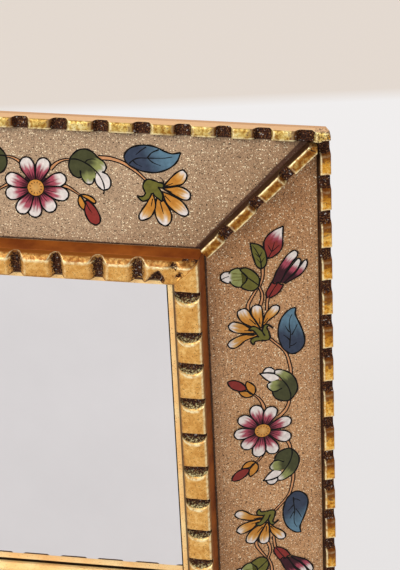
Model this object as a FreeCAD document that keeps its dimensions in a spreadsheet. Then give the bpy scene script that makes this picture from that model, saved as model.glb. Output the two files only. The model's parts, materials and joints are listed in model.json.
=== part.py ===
import FreeCAD, Part
import math
import os
import re
import Sketcher

# A framed wall mirror with sloping painted glass panels and notched mouldings.
# Origin: the middle of the wall plane. +X to the viewer's right, +Z up, the mirror faces -Y.

doc = FreeCAD.newDocument("wall_mirror")

# Driving dimensions, in millimetres
SIZES = {
    "frame_width": 250,
    "frame_height": 305,
    "wall_gap": 4,
    "panel_run": 47,
    "panel_drop": 15.7,
    "glass_thickness": 2,
    "glass_clearance": 0.15,
    "rail_edge": 4,
    "edging_width": 4.8,
    "edging_height": 5.5,
    "edging_chamfer": 0.9,
    "edging_pitch_across": 17,
    "edging_pitch_upright": 17.9,
    "edging_notch_width": 9,
    "edging_notch_floor": 3.6,
    "edging_notch_depth": 4,
    "edging_corner": 4,
    "bevel_width": 1,
    "bead_width": 11,
    "bead_rise": 5,
    "bead_chamfer": 1.6,
    "bead_pitch_across": 17.6,
    "bead_pitch_upright": 18.7,
    "bead_notch_width": 8.6,
    "bead_notch_floor": 2.4,
    "bead_notch_depth": 4.1,
    "lip_width": 3.4,
    "lip_rise": 6,
    "mitre_gap": 0.05,
    "mitre_overrun": 2,
    "strip_width": 5,
    "strip_height": 6.5,
    "strip_chamfer": 0.9,
    "strip_pitch": 18,
    "strip_first_notch": 13.5,
    "strip_notch_width": 7.6,
    "strip_notch_floor": 3.2,
    "strip_notch_depth": 4,
    "strip_end_gap": 0.4,
    "mirror_thickness": 3,
    "mirror_lap": 5,
    "mirror_clearance": 0.5,
    "cushion_thickness": 2,
    "retainer_width": 8,
    "board_thickness": 6,
    "board_ledge": 8,
    "board_clearance": 0.3,
    "button_length": 26,
    "button_width": 9,
    "button_thickness": 1.6,
    "button_gap": 0.1,
    "button_inset": 7,
    "screw_diameter": 3,
    "screw_length": 8,
    "screw_clearance": 0.1,
    "head_diameter": 6,
    "head_height": 1.4,
    "strap_width": 10,
    "strap_length": 30,
    "strap_thickness": 0.9,
    "strap_screw_first": 10,
    "strap_screw_spacing": 13,
    "hanger_rise": 70,
    "hanger_inset": 24,
    "wire_diameter": 1.8,
    "wire_clearance": 0.15,
    "ring_width": 16,
    "ring_depth": 15,
    "ring_corner": 2.4,
    "ring_rest_gap": 0.15,
    "bumper_diameter": 10,
    "bumper_inset": 20,
}

# Lengths and levels that follow from the driving dimensions.
# Strips are described in a frame of their own: x along the strip, z outward with 0 at the frame's edge.
DERIVED = {
    "slope_length": "sqrt(panel_run ^ 2 + panel_drop ^ 2)",
    "slope_cos": "panel_run / slope_length",
    "slope_sin": "panel_drop / slope_length",
    "panel_outer_z": "-(edging_width * slope_cos + edging_height * slope_sin)",
    "panel_inner_z": "panel_outer_z - panel_run",
    "bead_outer_z": "panel_inner_z - bevel_width",
    "bead_inner_z": "bead_outer_z - bead_width",
    "sight_z": "bead_inner_z - lip_width",
    "rail_inner_z": "sight_z + mirror_lap + mirror_clearance",
    "mitre_end_z": "min(sight_z; rail_inner_z - retainer_width) - mitre_overrun",
    "ledge_z": "rail_inner_z + board_ledge",
    "button_z": "ledge_z + button_inset",
    "button_tip_z": "button_z + button_width - button_length",
    "button_radius": "button_width / 2",
    "strap_radius": "strap_width / 2",
    "strap_top_z": "-strap_radius",
    "strap_end_z": "strap_radius - strap_length",
    "back_y": "-wall_gap",
    "panel_outer_y": "back_y - edging_width * slope_sin - (glass_thickness + rail_edge) * slope_cos",
    "seat_y": "panel_outer_y - panel_drop",
    "lip_y": "seat_y - lip_rise",
    "bead_front_y": "lip_y - bead_rise",
    "edging_front_y": "panel_outer_y + edging_width * slope_sin - edging_height * slope_cos",
    "mirror_back_y": "seat_y + mirror_thickness",
    "cushion_back_y": "mirror_back_y + cushion_thickness",
    "ledge_y": "back_y - board_thickness",
    "hip_length": "sqrt(2 * panel_run ^ 2 + panel_drop ^ 2)",
    "hip_fall": "panel_drop / hip_length",
    "knuckle_radius": "wire_diameter / 2 + wire_clearance + strap_thickness",
    "pivot_y": "back_y + knuckle_radius",
    "hole_radius": "screw_diameter / 2 + screw_clearance",
}

# The four sides: turn about Y, name of the side's own length, name of the length across it, direction
SIDES = {
    "top": (0, "frame_width", "frame_height", "across"),
    "right": (90, "frame_height", "frame_width", "upright"),
    "bottom": (180, "frame_width", "frame_height", "across"),
    "left": (270, "frame_height", "frame_width", "upright"),
}

# The four corners: directions along X and Z
CORNERS = {
    "top_right": (1, 1),
    "bottom_right": (1, -1),
    "bottom_left": (-1, -1),
    "top_left": (-1, 1),
}

X_AXIS = FreeCAD.Vector(1, 0, 0)
Y_AXIS = FreeCAD.Vector(0, 1, 0)

sheet = doc.addObject("Spreadsheet::Sheet", "Sizes")
for row, (name, value) in enumerate(SIZES.items(), start=1):
    sheet.set(f"A{row}", name)
    sheet.set(f"B{row}", str(value))
    sheet.setAlias(f"B{row}", name)
derived = doc.addObject("App::VarSet", "Derived")


def bound(text):
    """Write the holder's name before each size in an expression."""

    def full_name(match):
        word = match.group()
        if word in SIZES:
            return "Sizes." + word
        if word in DERIVED:
            return "Derived." + word
        return word

    return re.sub(r"[a-z][a-z_]+", full_name, text)


for name in DERIVED:
    derived.addProperty("App::PropertyFloat", name)
for name, text in DERIVED.items():
    derived.setExpression(name, bound(text).replace("Derived.", ""))
doc.recompute()


def size(name):
    """Read one size, driving or derived."""
    if name in SIZES:
        return float(getattr(sheet, name))
    return getattr(derived, name)


parts = []


def new_body(name):
    body = doc.addObject("PartDesign::Body", name)
    parts.append(body)
    return body


def sketch_on(body, role, name):
    """Start a sketch on one of the body's own origin planes."""
    sketch = body.newObject("Sketcher::SketchObject", f"{body.Name}_{name}")
    plane = next(item for item in body.Origin.OriginFeatures if item.Role == role)
    sketch.AttachmentSupport = [(plane, "")]
    sketch.MapMode = "FlatFace"
    return sketch


def fix_point(sketch, geometry, point, x, y):
    """Hold a point of the sketch at two bound distances from the sketch's origin."""
    for kind, text in (("DistanceX", x), ("DistanceY", y)):
        index = sketch.addConstraint(Sketcher.Constraint(kind, -1, 1, geometry, point, 1.0))
        sketch.setExpression(f"Constraints[{index}]", bound(text))


def draw_polygon(sketch, corners):
    """Draw a closed outline through corners given as pairs of expressions."""
    count = len(corners)
    first = sketch.GeometryCount
    turn = 2 * math.pi / count
    spots = [FreeCAD.Vector(math.cos(turn * i), math.sin(turn * i), 0) for i in range(count)]
    for i in range(count):
        sketch.addGeometry(Part.LineSegment(spots[i], spots[(i + 1) % count]))
    for i in range(count):
        after = first + (i + 1) % count
        sketch.addConstraint(Sketcher.Constraint("Coincident", first + i, 2, after, 1))
    for i, (x, y) in enumerate(corners):
        fix_point(sketch, first + i, 1, x, y)


def draw_circle(sketch, x, y, radius):
    """Draw a circle whose centre and radius are expressions."""
    circle = sketch.addGeometry(Part.Circle(FreeCAD.Vector(0, 0, 0), FreeCAD.Vector(0, 0, 1), 1))
    fix_point(sketch, circle, 3, x, y)
    index = sketch.addConstraint(Sketcher.Constraint("Radius", circle, 1.0))
    sketch.setExpression(f"Constraints[{index}]", bound(radius))


def draw_slot(sketch, start, end, radius):
    """Draw a round-ended slot along the sketch's y axis between two named places."""
    low_y = size(start)
    high_y = size(end)
    r = size(radius)
    low = Part.Circle(FreeCAD.Vector(0, low_y, 0), FreeCAD.Vector(0, 0, 1), r)
    high = Part.Circle(FreeCAD.Vector(0, high_y, 0), FreeCAD.Vector(0, 0, 1), r)
    bottom = sketch.addGeometry(Part.ArcOfCircle(low, math.pi, 2 * math.pi))
    right = sketch.addGeometry(Part.LineSegment(FreeCAD.Vector(r, low_y, 0), FreeCAD.Vector(r, high_y, 0)))
    top = sketch.addGeometry(Part.ArcOfCircle(high, 0, math.pi))
    left = sketch.addGeometry(Part.LineSegment(FreeCAD.Vector(-r, high_y, 0), FreeCAD.Vector(-r, low_y, 0)))
    for one, one_end, other, other_end in (
        (bottom, 2, right, 1),
        (right, 2, top, 1),
        (top, 2, left, 1),
        (left, 2, bottom, 1),
    ):
        sketch.addConstraint(Sketcher.Constraint("Tangent", one, one_end, other, other_end))
    for arc, place in ((bottom, start), (top, end)):
        for kind, text, value in (("DistanceX", "0", 0), ("DistanceY", place, size(place))):
            index = sketch.addConstraint(Sketcher.Constraint(kind, -1, 1, arc, 3, float(value)))
            sketch.setExpression(f"Constraints[{index}]", bound(text))
    index = sketch.addConstraint(Sketcher.Constraint("Radius", bottom, r))
    sketch.setExpression(f"Constraints[{index}]", bound(radius))


def pad(body, sketch, length, reverse=False, symmetric=False):
    feature = body.newObject("PartDesign::Pad", sketch.Name + "_pad")
    feature.Profile = sketch
    feature.Reversed = reverse
    if symmetric:
        feature.SideType = "Symmetric"
    feature.setExpression("Length", bound(length))
    return feature


def pocket(body, sketch, length, reverse=False):
    """Cut to a length, or right through on both sides where the length is None."""
    feature = body.newObject("PartDesign::Pocket", sketch.Name + "_pocket")
    feature.Profile = sketch
    if length is None:
        feature.SideType = "Symmetric"
        feature.Type = "ThroughAll"
    else:
        feature.Reversed = reverse
        feature.setExpression("Length", bound(length))
    return feature


def chamfer_long_edges(body, spots, amount):
    """Chamfer the edges along x that pass through the given y and z."""
    doc.recompute()
    base = body.Tip
    names = []
    for number, edge in enumerate(body.Shape.Edges, start=1):
        direction = edge.tangentAt(edge.FirstParameter)
        middle = edge.CenterOfMass
        near = any(abs(middle.y - y) + abs(middle.z - z) < 0.01 for y, z in spots)
        if abs(direction.x) > 0.99 and near:
            names.append(f"Edge{number}")
    if len(names) != len(spots):
        raise ValueError(f"{body.Name}: {len(names)} edges to chamfer, {len(spots)} wanted")
    feature = body.newObject("PartDesign::Chamfer", body.Name + "_chamfer")
    feature.Base = (base, names)
    feature.setExpression("Size", bound(amount))
    body.Tip = feature


def repeat_along_x(body, feature, pitch, count):
    pattern = body.newObject("PartDesign::LinearPattern", feature.Name + "_row")
    pattern.Originals = [feature]
    axis = next(item for item in body.Origin.OriginFeatures if item.Role == "X_Axis")
    pattern.Direction = (axis, [""])
    pattern.Mode = "Spacing"
    pattern.setExpression("Offset", bound(pitch))
    pattern.setExpression("Occurrences", bound(count))
    body.Tip = pattern
    return pattern


def place_on_side(body, side):
    """Turn a strip about Y and move it out to its side of the frame."""
    turn, _, across, _ = SIDES[side]
    outward = FreeCAD.Rotation(Y_AXIS, turn).multVec(FreeCAD.Vector(0, 0, 1))
    body.Placement.Rotation = FreeCAD.Rotation(Y_AXIS, turn)
    body.setExpression("Placement.Base.x", bound(f"{round(outward.x)} * {across} / 2"))
    body.setExpression("Placement.Base.z", bound(f"{round(outward.z)} * {across} / 2"))


def strip_body(kind, side, corners):
    """Pad a strip's section along its side of the frame."""
    body = new_body(f"{kind}_{side}")
    section = sketch_on(body, "YZ_Plane", "section")
    draw_polygon(section, corners)
    pad(body, section, SIDES[side][1], symmetric=True)
    return body


def cut_mitres(body, side):
    """Cut both ends of a strip at 45 degrees."""
    sketch = sketch_on(body, "XZ_Plane", "mitres")
    half = f"({SIDES[side][1]} / 2 - mitre_gap)"
    for way in ("1", "-1"):
        draw_polygon(
            sketch,
            [
                (f"{way} * ({half} + mitre_overrun)", "mitre_overrun"),
                (f"{way} * ({half} + mitre_end_z)", "mitre_end_z"),
                (f"{way} * ({half} + mitre_overrun)", "mitre_end_z"),
            ],
        )
    pocket(body, sketch, None)


def draw_notch(sketch, x, front, kind):
    """Draw a notch's outline: a flat floor between two sloping cheeks."""
    mouth = f"{kind}_notch_width / 2"
    floor = f"{kind}_notch_floor / 2"
    deep = f"{front} + {kind}_notch_depth"
    above = f"{front} - {kind}_notch_depth"
    draw_polygon(
        sketch,
        [
            (f"{x} - {mouth}", front),
            (f"{x} - {floor}", deep),
            (f"{x} + {floor}", deep),
            (f"{x} + {mouth}", front),
            (f"{x} + {mouth}", above),
            (f"{x} - {mouth}", above),
        ],
    )


def cut_notches(body, front, kind, side, run):
    """Cut a centred row of notches across a strip; run is the length that they share."""
    pitch = f"{kind}_pitch_{SIDES[side][3]}"
    count = f"floor(({run}) / {pitch})"
    sketch = sketch_on(body, "XY_Plane", "notch")
    draw_notch(sketch, f"-({count} - 1) / 2 * {pitch}", front, kind)
    notch = pocket(body, sketch, None)
    repeat_along_x(body, notch, pitch, count)
    return notch


def round_corners(body, side):
    """Round the frame's outer corner at both ends of a strip, in flats along a quarter circle."""
    sketch = sketch_on(body, "XZ_Plane", "corners")
    end = f"{SIDES[side][1]} / 2"
    for way in ("1", "-1"):
        corners = [
            (f"{way} * ({end} + mitre_overrun)", "-edging_corner"),
            (f"{way} * ({end} + mitre_overrun)", "mitre_overrun"),
            (f"{way} * ({end} - edging_corner)", "mitre_overrun"),
        ]
        for angle in (90, 60, 30, 0):
            x = f"{way} * ({end} - edging_corner * (1 - cos({angle})))"
            corners.append((x, f"-edging_corner * (1 - sin({angle}))"))
        draw_polygon(sketch, corners)
    pocket(body, sketch, None)


def build_rail(side, holes):
    """A wedge-shaped rail with a sloping bed, a stepped rebate behind and pilot holes."""
    bed = "(glass_thickness / slope_cos)"
    body = strip_body(
        "rail",
        side,
        [
            ("seat_y", "rail_inner_z"),
            ("seat_y", "panel_inner_z"),
            (f"seat_y + {bed}", "panel_inner_z"),
            (
                "panel_outer_y + edging_width * slope_sin + glass_thickness * slope_cos",
                "panel_outer_z + edging_width * slope_cos - glass_thickness * slope_sin",
            ),
            ("back_y", "panel_outer_z + edging_width * slope_cos - (glass_thickness + rail_edge) * slope_sin"),
            ("back_y", "ledge_z"),
            ("ledge_y", "ledge_z"),
            ("ledge_y", "rail_inner_z"),
        ],
    )
    cut_mitres(body, side)
    sketch = sketch_on(body, "XZ_Plane", "pilot_holes")
    for x, z in holes:
        draw_circle(sketch, x, z, "hole_radius")
    pocket(body, sketch, "wall_gap + screw_length", reverse=True)
    place_on_side(body, side)


def build_glass_panel(side):
    """A trapezoid of painted glass lying on the rail's sloping bed."""
    thick = "(glass_thickness / slope_cos)"
    rise = "(panel_drop / panel_run * glass_clearance)"
    body = strip_body(
        "glass_panel",
        side,
        [
            (f"seat_y + {rise}", "panel_inner_z + glass_clearance"),
            (
                "panel_outer_y - glass_clearance * slope_sin",
                "panel_outer_z - glass_clearance * slope_cos",
            ),
            (
                "panel_outer_y - glass_clearance * slope_sin + glass_thickness * slope_cos",
                "panel_outer_z - glass_clearance * slope_cos - glass_thickness * slope_sin",
            ),
            (f"seat_y + {rise} + {thick}", "panel_inner_z + glass_clearance"),
        ],
    )
    cut_mitres(body, side)
    place_on_side(body, side)


def build_edging(side):
    """The notched moulding round the outside, square to the sloping bed."""
    front_inner = (
        "panel_outer_y - edging_height * slope_cos",
        "panel_outer_z + edging_height * slope_sin",
    )
    body = strip_body(
        "edging",
        side,
        [
            (
                "panel_outer_y + glass_thickness * slope_cos",
                "panel_outer_z - glass_thickness * slope_sin",
            ),
            (
                "panel_outer_y + edging_width * slope_sin + glass_thickness * slope_cos",
                "panel_outer_z + edging_width * slope_cos - glass_thickness * slope_sin",
            ),
            ("edging_front_y", "0"),
            front_inner,
        ],
    )
    inner_y = size("panel_outer_y") - size("edging_height") * size("slope_cos")
    inner_z = size("panel_outer_z") + size("edging_height") * size("slope_sin")
    chamfer_long_edges(body, [(size("edging_front_y"), 0), (inner_y, inner_z)], "edging_chamfer")
    cut_mitres(body, side)
    round_corners(body, side)
    notch = cut_notches(body, "edging_front_y", "edging", side, SIDES[side][1])
    notch.UseCustomVector = True
    notch.Direction = FreeCAD.Vector(0, size("slope_sin"), size("slope_cos"))
    place_on_side(body, side)


def build_sight_fillet(side):
    """The plain fillet that laps the mirror and carries the notched bead."""
    body = strip_body(
        "sight_fillet",
        side,
        [
            ("seat_y", "sight_z"),
            ("lip_y", "sight_z"),
            ("lip_y", "bead_outer_z"),
            ("seat_y", "panel_inner_z"),
        ],
    )
    cut_mitres(body, side)
    place_on_side(body, side)


def build_bead(side):
    """The notched bead on the fillet, chamfered along both front edges."""
    body = strip_body(
        "notched_bead",
        side,
        [
            ("lip_y", "bead_inner_z"),
            ("bead_front_y", "bead_inner_z"),
            ("bead_front_y", "bead_outer_z"),
            ("lip_y", "bead_outer_z"),
        ],
    )
    front = size("bead_front_y")
    edges = [(front, size("bead_inner_z")), (front, size("bead_outer_z"))]
    chamfer_long_edges(body, edges, "bead_chamfer")
    cut_mitres(body, side)
    cut_notches(body, "bead_front_y", "bead", side, f"{SIDES[side][1]} + 2 * bead_inner_z")
    place_on_side(body, side)


def build_retainer(side):
    """A square strip in the rebate that presses the mirror forward."""
    body = strip_body(
        "retainer",
        side,
        [
            ("cushion_back_y", "rail_inner_z"),
            ("ledge_y", "rail_inner_z"),
            ("ledge_y", "rail_inner_z - retainer_width"),
            ("cushion_back_y", "rail_inner_z - retainer_width"),
        ],
    )
    cut_mitres(body, side)
    place_on_side(body, side)


def build_mitre_strip(corner):
    """A notched strip over the joint between two panels, pointed at the outer corner."""
    body = new_body(f"mitre_strip_{corner}")
    section = sketch_on(body, "YZ_Plane", "section")
    side_fall = "strip_width / 2 * hip_fall - mitre_gap"
    draw_polygon(
        section,
        [
            ("-mitre_gap", "0"),
            (side_fall, "strip_width / 2"),
            ("-strip_height", "strip_width / 2"),
            ("-strip_height", "-strip_width / 2"),
            (side_fall, "-strip_width / 2"),
        ],
    )
    pad(body, section, "hip_length")
    half = size("strip_width") / 2
    front = -size("strip_height")
    chamfer_long_edges(body, [(front, half), (front, -half)], "strip_chamfer")
    point = sketch_on(body, "XZ_Plane", "point")
    tip = "(hip_length - strip_end_gap)"
    for way in ("1", "-1"):
        draw_polygon(
            point,
            [
                (tip, "0"),
                (f"{tip} - strip_width", f"{way} * strip_width"),
                (f"{tip} + strip_width", f"{way} * strip_width"),
                (f"{tip} + strip_width", "0"),
            ],
        )
    pocket(body, point, None)
    butt = sketch_on(body, "XZ_Plane", "butt")
    draw_polygon(
        butt,
        [
            ("strip_end_gap", "-strip_width"),
            ("strip_end_gap", "strip_width"),
            ("-strip_width", "strip_width"),
            ("-strip_width", "-strip_width"),
        ],
    )
    pocket(body, butt, None)
    notch_sketch = sketch_on(body, "XY_Plane", "notch")
    draw_notch(notch_sketch, "strip_first_notch", "-strip_height", "strip")
    notch = pocket(body, notch_sketch, None)
    count = "1 + floor((hip_length - strip_first_notch - strip_width) / strip_pitch)"
    repeat_along_x(body, notch, "strip_pitch", count)

    x_way, z_way = CORNERS[corner]
    along = FreeCAD.Vector(x_way * size("panel_run"), size("panel_drop"), z_way * size("panel_run"))
    along.normalize()
    across = along.cross(Y_AXIS)
    across.normalize()
    inward = across.cross(along)
    body.Placement = FreeCAD.Placement(
        FreeCAD.Vector(
            x_way * (size("frame_width") / 2 + size("panel_inner_z")),
            size("seat_y"),
            z_way * (size("frame_height") / 2 + size("panel_inner_z")),
        ),
        FreeCAD.Rotation(along, inward, across, "XYZ"),
    )


def build_sheet(name, half_extent, front, thickness):
    """A flat rectangular sheet centred on the frame; half_extent is what it adds to half the frame."""
    box = doc.addObject("Part::Box", name)
    parts.append(box)
    box.setExpression("Length", bound(f"frame_width + 2 * ({half_extent})"))
    box.setExpression("Width", bound(thickness))
    box.setExpression("Height", bound(f"frame_height + 2 * ({half_extent})"))
    box.setExpression("Placement.Base.x", bound(f"-(frame_width / 2 + ({half_extent}))"))
    box.setExpression("Placement.Base.y", bound(front))
    box.setExpression("Placement.Base.z", bound(f"-(frame_height / 2 + ({half_extent}))"))


def build_turn_button(side):
    """A round-ended plate that turns on its screw and holds the backing board."""
    body = new_body(f"turn_button_{side}")
    outline = sketch_on(body, "XZ_Plane", "outline")
    draw_slot(outline, "button_tip_z", "button_z", "button_radius")
    pad(body, outline, "button_thickness", reverse=True)
    bore = sketch_on(body, "XZ_Plane", "bore")
    draw_circle(bore, "0", "button_z", "hole_radius")
    pocket(body, bore, None)
    place_on_side(body, side)
    body.setExpression("Placement.Base.y", bound("back_y + button_gap"))


def screw_shape(head_y):
    """One pan-headed screw along +Y whose head seats at head_y, at x = z = 0."""
    tip = FreeCAD.Vector(0, size("back_y") - size("screw_length"), 0)
    stem = Part.makeCylinder(size("screw_diameter") / 2, head_y - tip.y, tip, Y_AXIS)
    seat = FreeCAD.Vector(0, head_y, 0)
    head = Part.makeCylinder(size("head_diameter") / 2, size("head_height"), seat, Y_AXIS)
    return stem.fuse(head).removeSplitter().Solids[0]


def build_group(name, solids):
    """One node of identical separate solids."""
    group = doc.addObject("Part::Feature", name)
    parts.append(group)
    group.Shape = Part.makeCompound(solids)


def on_side(shape, side, x, z):
    """Copy a shape to a place given in a side's own frame."""
    turn, _, across, _ = SIDES[side]
    copy = shape.copy()
    copy.translate(FreeCAD.Vector(x, 0, z + size(across) / 2))
    copy.rotate(FreeCAD.Vector(0, 0, 0), Y_AXIS, turn)
    return copy


def build_strap(side):
    """A hanger plate with a rolled knuckle at its upper end."""
    body = new_body(f"hanger_strap_{side}")
    plate = sketch_on(body, "XZ_Plane", "plate")
    draw_slot(plate, "strap_end_z", "strap_top_z", "strap_radius")
    pad(body, plate, "strap_thickness", reverse=True)
    square = sketch_on(body, "XZ_Plane", "square_end")
    draw_polygon(
        square,
        [
            ("-strap_width / 2", "-strap_width / 2"),
            ("strap_width / 2", "-strap_width / 2"),
            ("strap_width / 2", "0"),
            ("-strap_width / 2", "0"),
        ],
    )
    pad(body, square, "strap_thickness", reverse=True)
    knuckle = sketch_on(body, "YZ_Plane", "knuckle")
    draw_circle(knuckle, "knuckle_radius", "0", "knuckle_radius")
    pad(body, knuckle, "strap_width", symmetric=True)
    bore = sketch_on(body, "YZ_Plane", "bore")
    draw_circle(bore, "knuckle_radius", "0", "wire_diameter / 2 + wire_clearance")
    pocket(body, bore, None)
    holes = sketch_on(body, "XZ_Plane", "holes")
    for z in ("-strap_screw_first", "-strap_screw_first - strap_screw_spacing"):
        draw_circle(holes, "0", z, "hole_radius")
    pocket(body, holes, None)
    way = {"right": 1, "left": -1}[side]
    body.setExpression("Placement.Base.x", bound(f"{way} * (frame_width / 2 - hanger_inset)"))
    body.setExpression("Placement.Base.y", bound("back_y"))
    body.setExpression("Placement.Base.z", bound("hanger_rise"))


def ring_shape():
    """A D-shaped ring of eight-sided wire in the XZ plane; the middle of its bar is the origin."""
    half = size("ring_width") / 2
    corner = size("ring_corner")
    bar = size("ring_width") - 2 * corner
    leg = size("ring_depth") - half - corner
    wire = size("wire_diameter") / 2
    sides = 8
    spots = []
    for i in range(sides + 1):
        angle = 2 * math.pi * (i + 0.5) / sides
        spots.append(FreeCAD.Vector(0, wire * math.cos(angle), wire * math.sin(angle)))
    section = Part.Face(Part.makePolygon(spots))
    heading = FreeCAD.Placement(FreeCAD.Vector(-bar / 2, 0, 0), FreeCAD.Rotation())
    pieces = []
    for run, radius, turn in ((bar, corner, 90), (leg, half, 180), (leg, corner, 90)):
        straight = section.extrude(X_AXIS * run)
        straight.Placement = heading
        heading = heading.multiply(FreeCAD.Placement(X_AXIS * run, FreeCAD.Rotation()))
        centre = FreeCAD.Vector(0, 0, radius)
        bend = section.revolve(centre, -Y_AXIS, turn)
        bend.Placement = heading
        turned = FreeCAD.Placement(FreeCAD.Vector(0, 0, 0), FreeCAD.Rotation(-Y_AXIS, turn), centre)
        heading = heading.multiply(turned)
        pieces += [straight, bend]
    return pieces[0].fuse(pieces[1:]).removeSplitter().Solids[0]


def build_ring(side):
    """The wire ring through the knuckle, leaning back on the rail."""
    ring = doc.addObject("Part::Feature", f"hanger_ring_{side}")
    parts.append(ring)
    ring.Shape = ring_shape()
    slack = size("knuckle_radius") - size("wire_diameter") / 2 - size("ring_rest_gap")
    lean = math.asin(slack / size("ring_depth"))
    way = {"right": 1, "left": -1}[side]
    ring.Placement = FreeCAD.Placement(
        FreeCAD.Vector(
            way * (size("frame_width") / 2 - size("hanger_inset")),
            size("pivot_y"),
            size("hanger_rise"),
        ),
        FreeCAD.Rotation(X_AXIS, math.degrees(lean)),
    )


def build_bumpers():
    """Two round pads that keep the lower corners off the wall."""
    pads = []
    for name, way in (("bumper_right", 1), ("bumper_left", -1)):
        bumper = doc.addObject("Part::Cylinder", name)
        bumper.setExpression("Radius", bound("bumper_diameter / 2"))
        bumper.setExpression("Height", bound("wall_gap"))
        bumper.Placement.Rotation = FreeCAD.Rotation(X_AXIS, -90)
        bumper.setExpression("Placement.Base.x", bound(f"{way} * (frame_width / 2 - bumper_inset)"))
        bumper.setExpression("Placement.Base.y", bound("back_y"))
        bumper.setExpression("Placement.Base.z", bound("bumper_inset - frame_height / 2"))
        pads.append(bumper)
    group = doc.addObject("Part::Compound", "wall_bumpers")
    group.Links = pads
    parts.append(group)


# Pilot holes in each rail's own frame; a side rail's x runs down on the right and up on the left
button_hole = ("0", "button_z")
strap_screws = ("hanger_rise - strap_screw_first", "hanger_rise - strap_screw_first - strap_screw_spacing")
pilot_holes = {
    "top": [button_hole],
    "bottom": [button_hole],
    "right": [button_hole] + [(f"-({x})", "-hanger_inset") for x in strap_screws],
    "left": [button_hole] + [(x, "-hanger_inset") for x in strap_screws],
}

for side in SIDES:
    build_rail(side, pilot_holes[side])
    build_glass_panel(side)
    build_edging(side)
    build_sight_fillet(side)
    build_bead(side)
    build_retainer(side)
    build_turn_button(side)
for corner in CORNERS:
    build_mitre_strip(corner)
build_sheet("mirror_glass", "sight_z + mirror_lap", "seat_y", "mirror_thickness")
build_sheet("cushion_sheet", "sight_z + mirror_lap", "mirror_back_y", "cushion_thickness")
build_sheet("backing_board", "ledge_z - board_clearance", "ledge_y", "board_thickness")
for side in ("right", "left"):
    build_strap(side)
    build_ring(side)
build_bumpers()

button_screw = screw_shape(size("back_y") + 2 * size("button_gap") + size("button_thickness"))
build_group("turn_button_screws", [on_side(button_screw, side, 0, size("button_z")) for side in SIDES])
strap_screw = screw_shape(size("back_y") + size("strap_thickness"))
strap_spots = [size("hanger_rise") - size("strap_screw_first")]
strap_spots.append(strap_spots[0] - size("strap_screw_spacing"))
build_group(
    "hanger_screws",
    [on_side(strap_screw, "right", -x, -size("hanger_inset")) for x in strap_spots]
    + [on_side(strap_screw, "left", x, -size("hanger_inset")) for x in strap_spots],
)

doc.recompute()
for item in doc.Objects:
    if "Invalid" in item.State or "Error" in item.State:
        raise RuntimeError(f"{item.Name} failed: {item.State}")
for part in parts:
    if part.Shape.isNull() or not part.Shape.isValid() or not part.Shape.Solids:
        raise RuntimeError(f"{part.Label} has no valid solid")

os.makedirs("parts", exist_ok=True)
for part in parts:
    part.Shape.exportStep(f"parts/{part.Label}.step")
    print(part.Label, len(part.Shape.Solids), round(part.Shape.Volume, 1))
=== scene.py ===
import json
import math
import random
from dataclasses import dataclass, replace

import bmesh
import bpy
from mathutils import Matrix, Vector, noise


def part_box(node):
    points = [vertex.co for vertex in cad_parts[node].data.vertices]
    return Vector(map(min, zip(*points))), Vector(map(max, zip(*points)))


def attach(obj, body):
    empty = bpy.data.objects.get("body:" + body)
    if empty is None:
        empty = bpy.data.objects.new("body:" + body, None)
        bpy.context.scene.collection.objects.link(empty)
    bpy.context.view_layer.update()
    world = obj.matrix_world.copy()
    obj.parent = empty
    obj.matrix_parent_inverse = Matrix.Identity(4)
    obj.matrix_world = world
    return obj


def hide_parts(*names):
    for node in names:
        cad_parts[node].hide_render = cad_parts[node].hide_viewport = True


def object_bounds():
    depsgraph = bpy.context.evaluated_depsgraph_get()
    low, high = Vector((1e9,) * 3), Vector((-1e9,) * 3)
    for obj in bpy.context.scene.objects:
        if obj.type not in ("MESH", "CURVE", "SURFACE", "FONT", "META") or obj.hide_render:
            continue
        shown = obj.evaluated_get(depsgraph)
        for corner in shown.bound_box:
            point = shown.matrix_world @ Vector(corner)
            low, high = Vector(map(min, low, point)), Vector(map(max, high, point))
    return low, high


# A framed wall mirror: carved gilt mouldings round painted glass panels, with its mirror and back.
# Sizes are in millimetres and become metres as a mesh is made. The mirror faces -Y.

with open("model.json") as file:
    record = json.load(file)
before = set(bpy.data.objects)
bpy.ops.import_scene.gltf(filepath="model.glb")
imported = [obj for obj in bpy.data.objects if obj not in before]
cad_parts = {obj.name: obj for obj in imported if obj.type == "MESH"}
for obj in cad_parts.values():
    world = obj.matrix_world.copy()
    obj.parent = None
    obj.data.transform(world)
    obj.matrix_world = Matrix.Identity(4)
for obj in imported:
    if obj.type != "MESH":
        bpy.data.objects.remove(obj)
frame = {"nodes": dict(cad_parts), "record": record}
cad_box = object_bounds()

MM = 0.001
TO_METRES = Matrix.Scale(MM, 4)

# The frame's size and section, as the solids have them
HALF_WIDTH = 125.0
HALF_HEIGHT = 152.5
PANEL_RUN = 47.0
PANEL_DROP = 15.7
GLASS_THICKNESS = 2.0
EDGING_WIDTH = 4.8
EDGING_HEIGHT = 5.5
BEVEL_WIDTH = 1.0
BEAD_WIDTH = 11.0
BEAD_RISE = 5.0
LIP_WIDTH = 3.4
LIP_RISE = 6.0
STRIP_WIDTH = 5.0
STRIP_HEIGHT = 6.5
STRIP_FOOT = -0.4
MITRE_GAP = 0.05
CORNER_ROUND = 4.0

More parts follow.
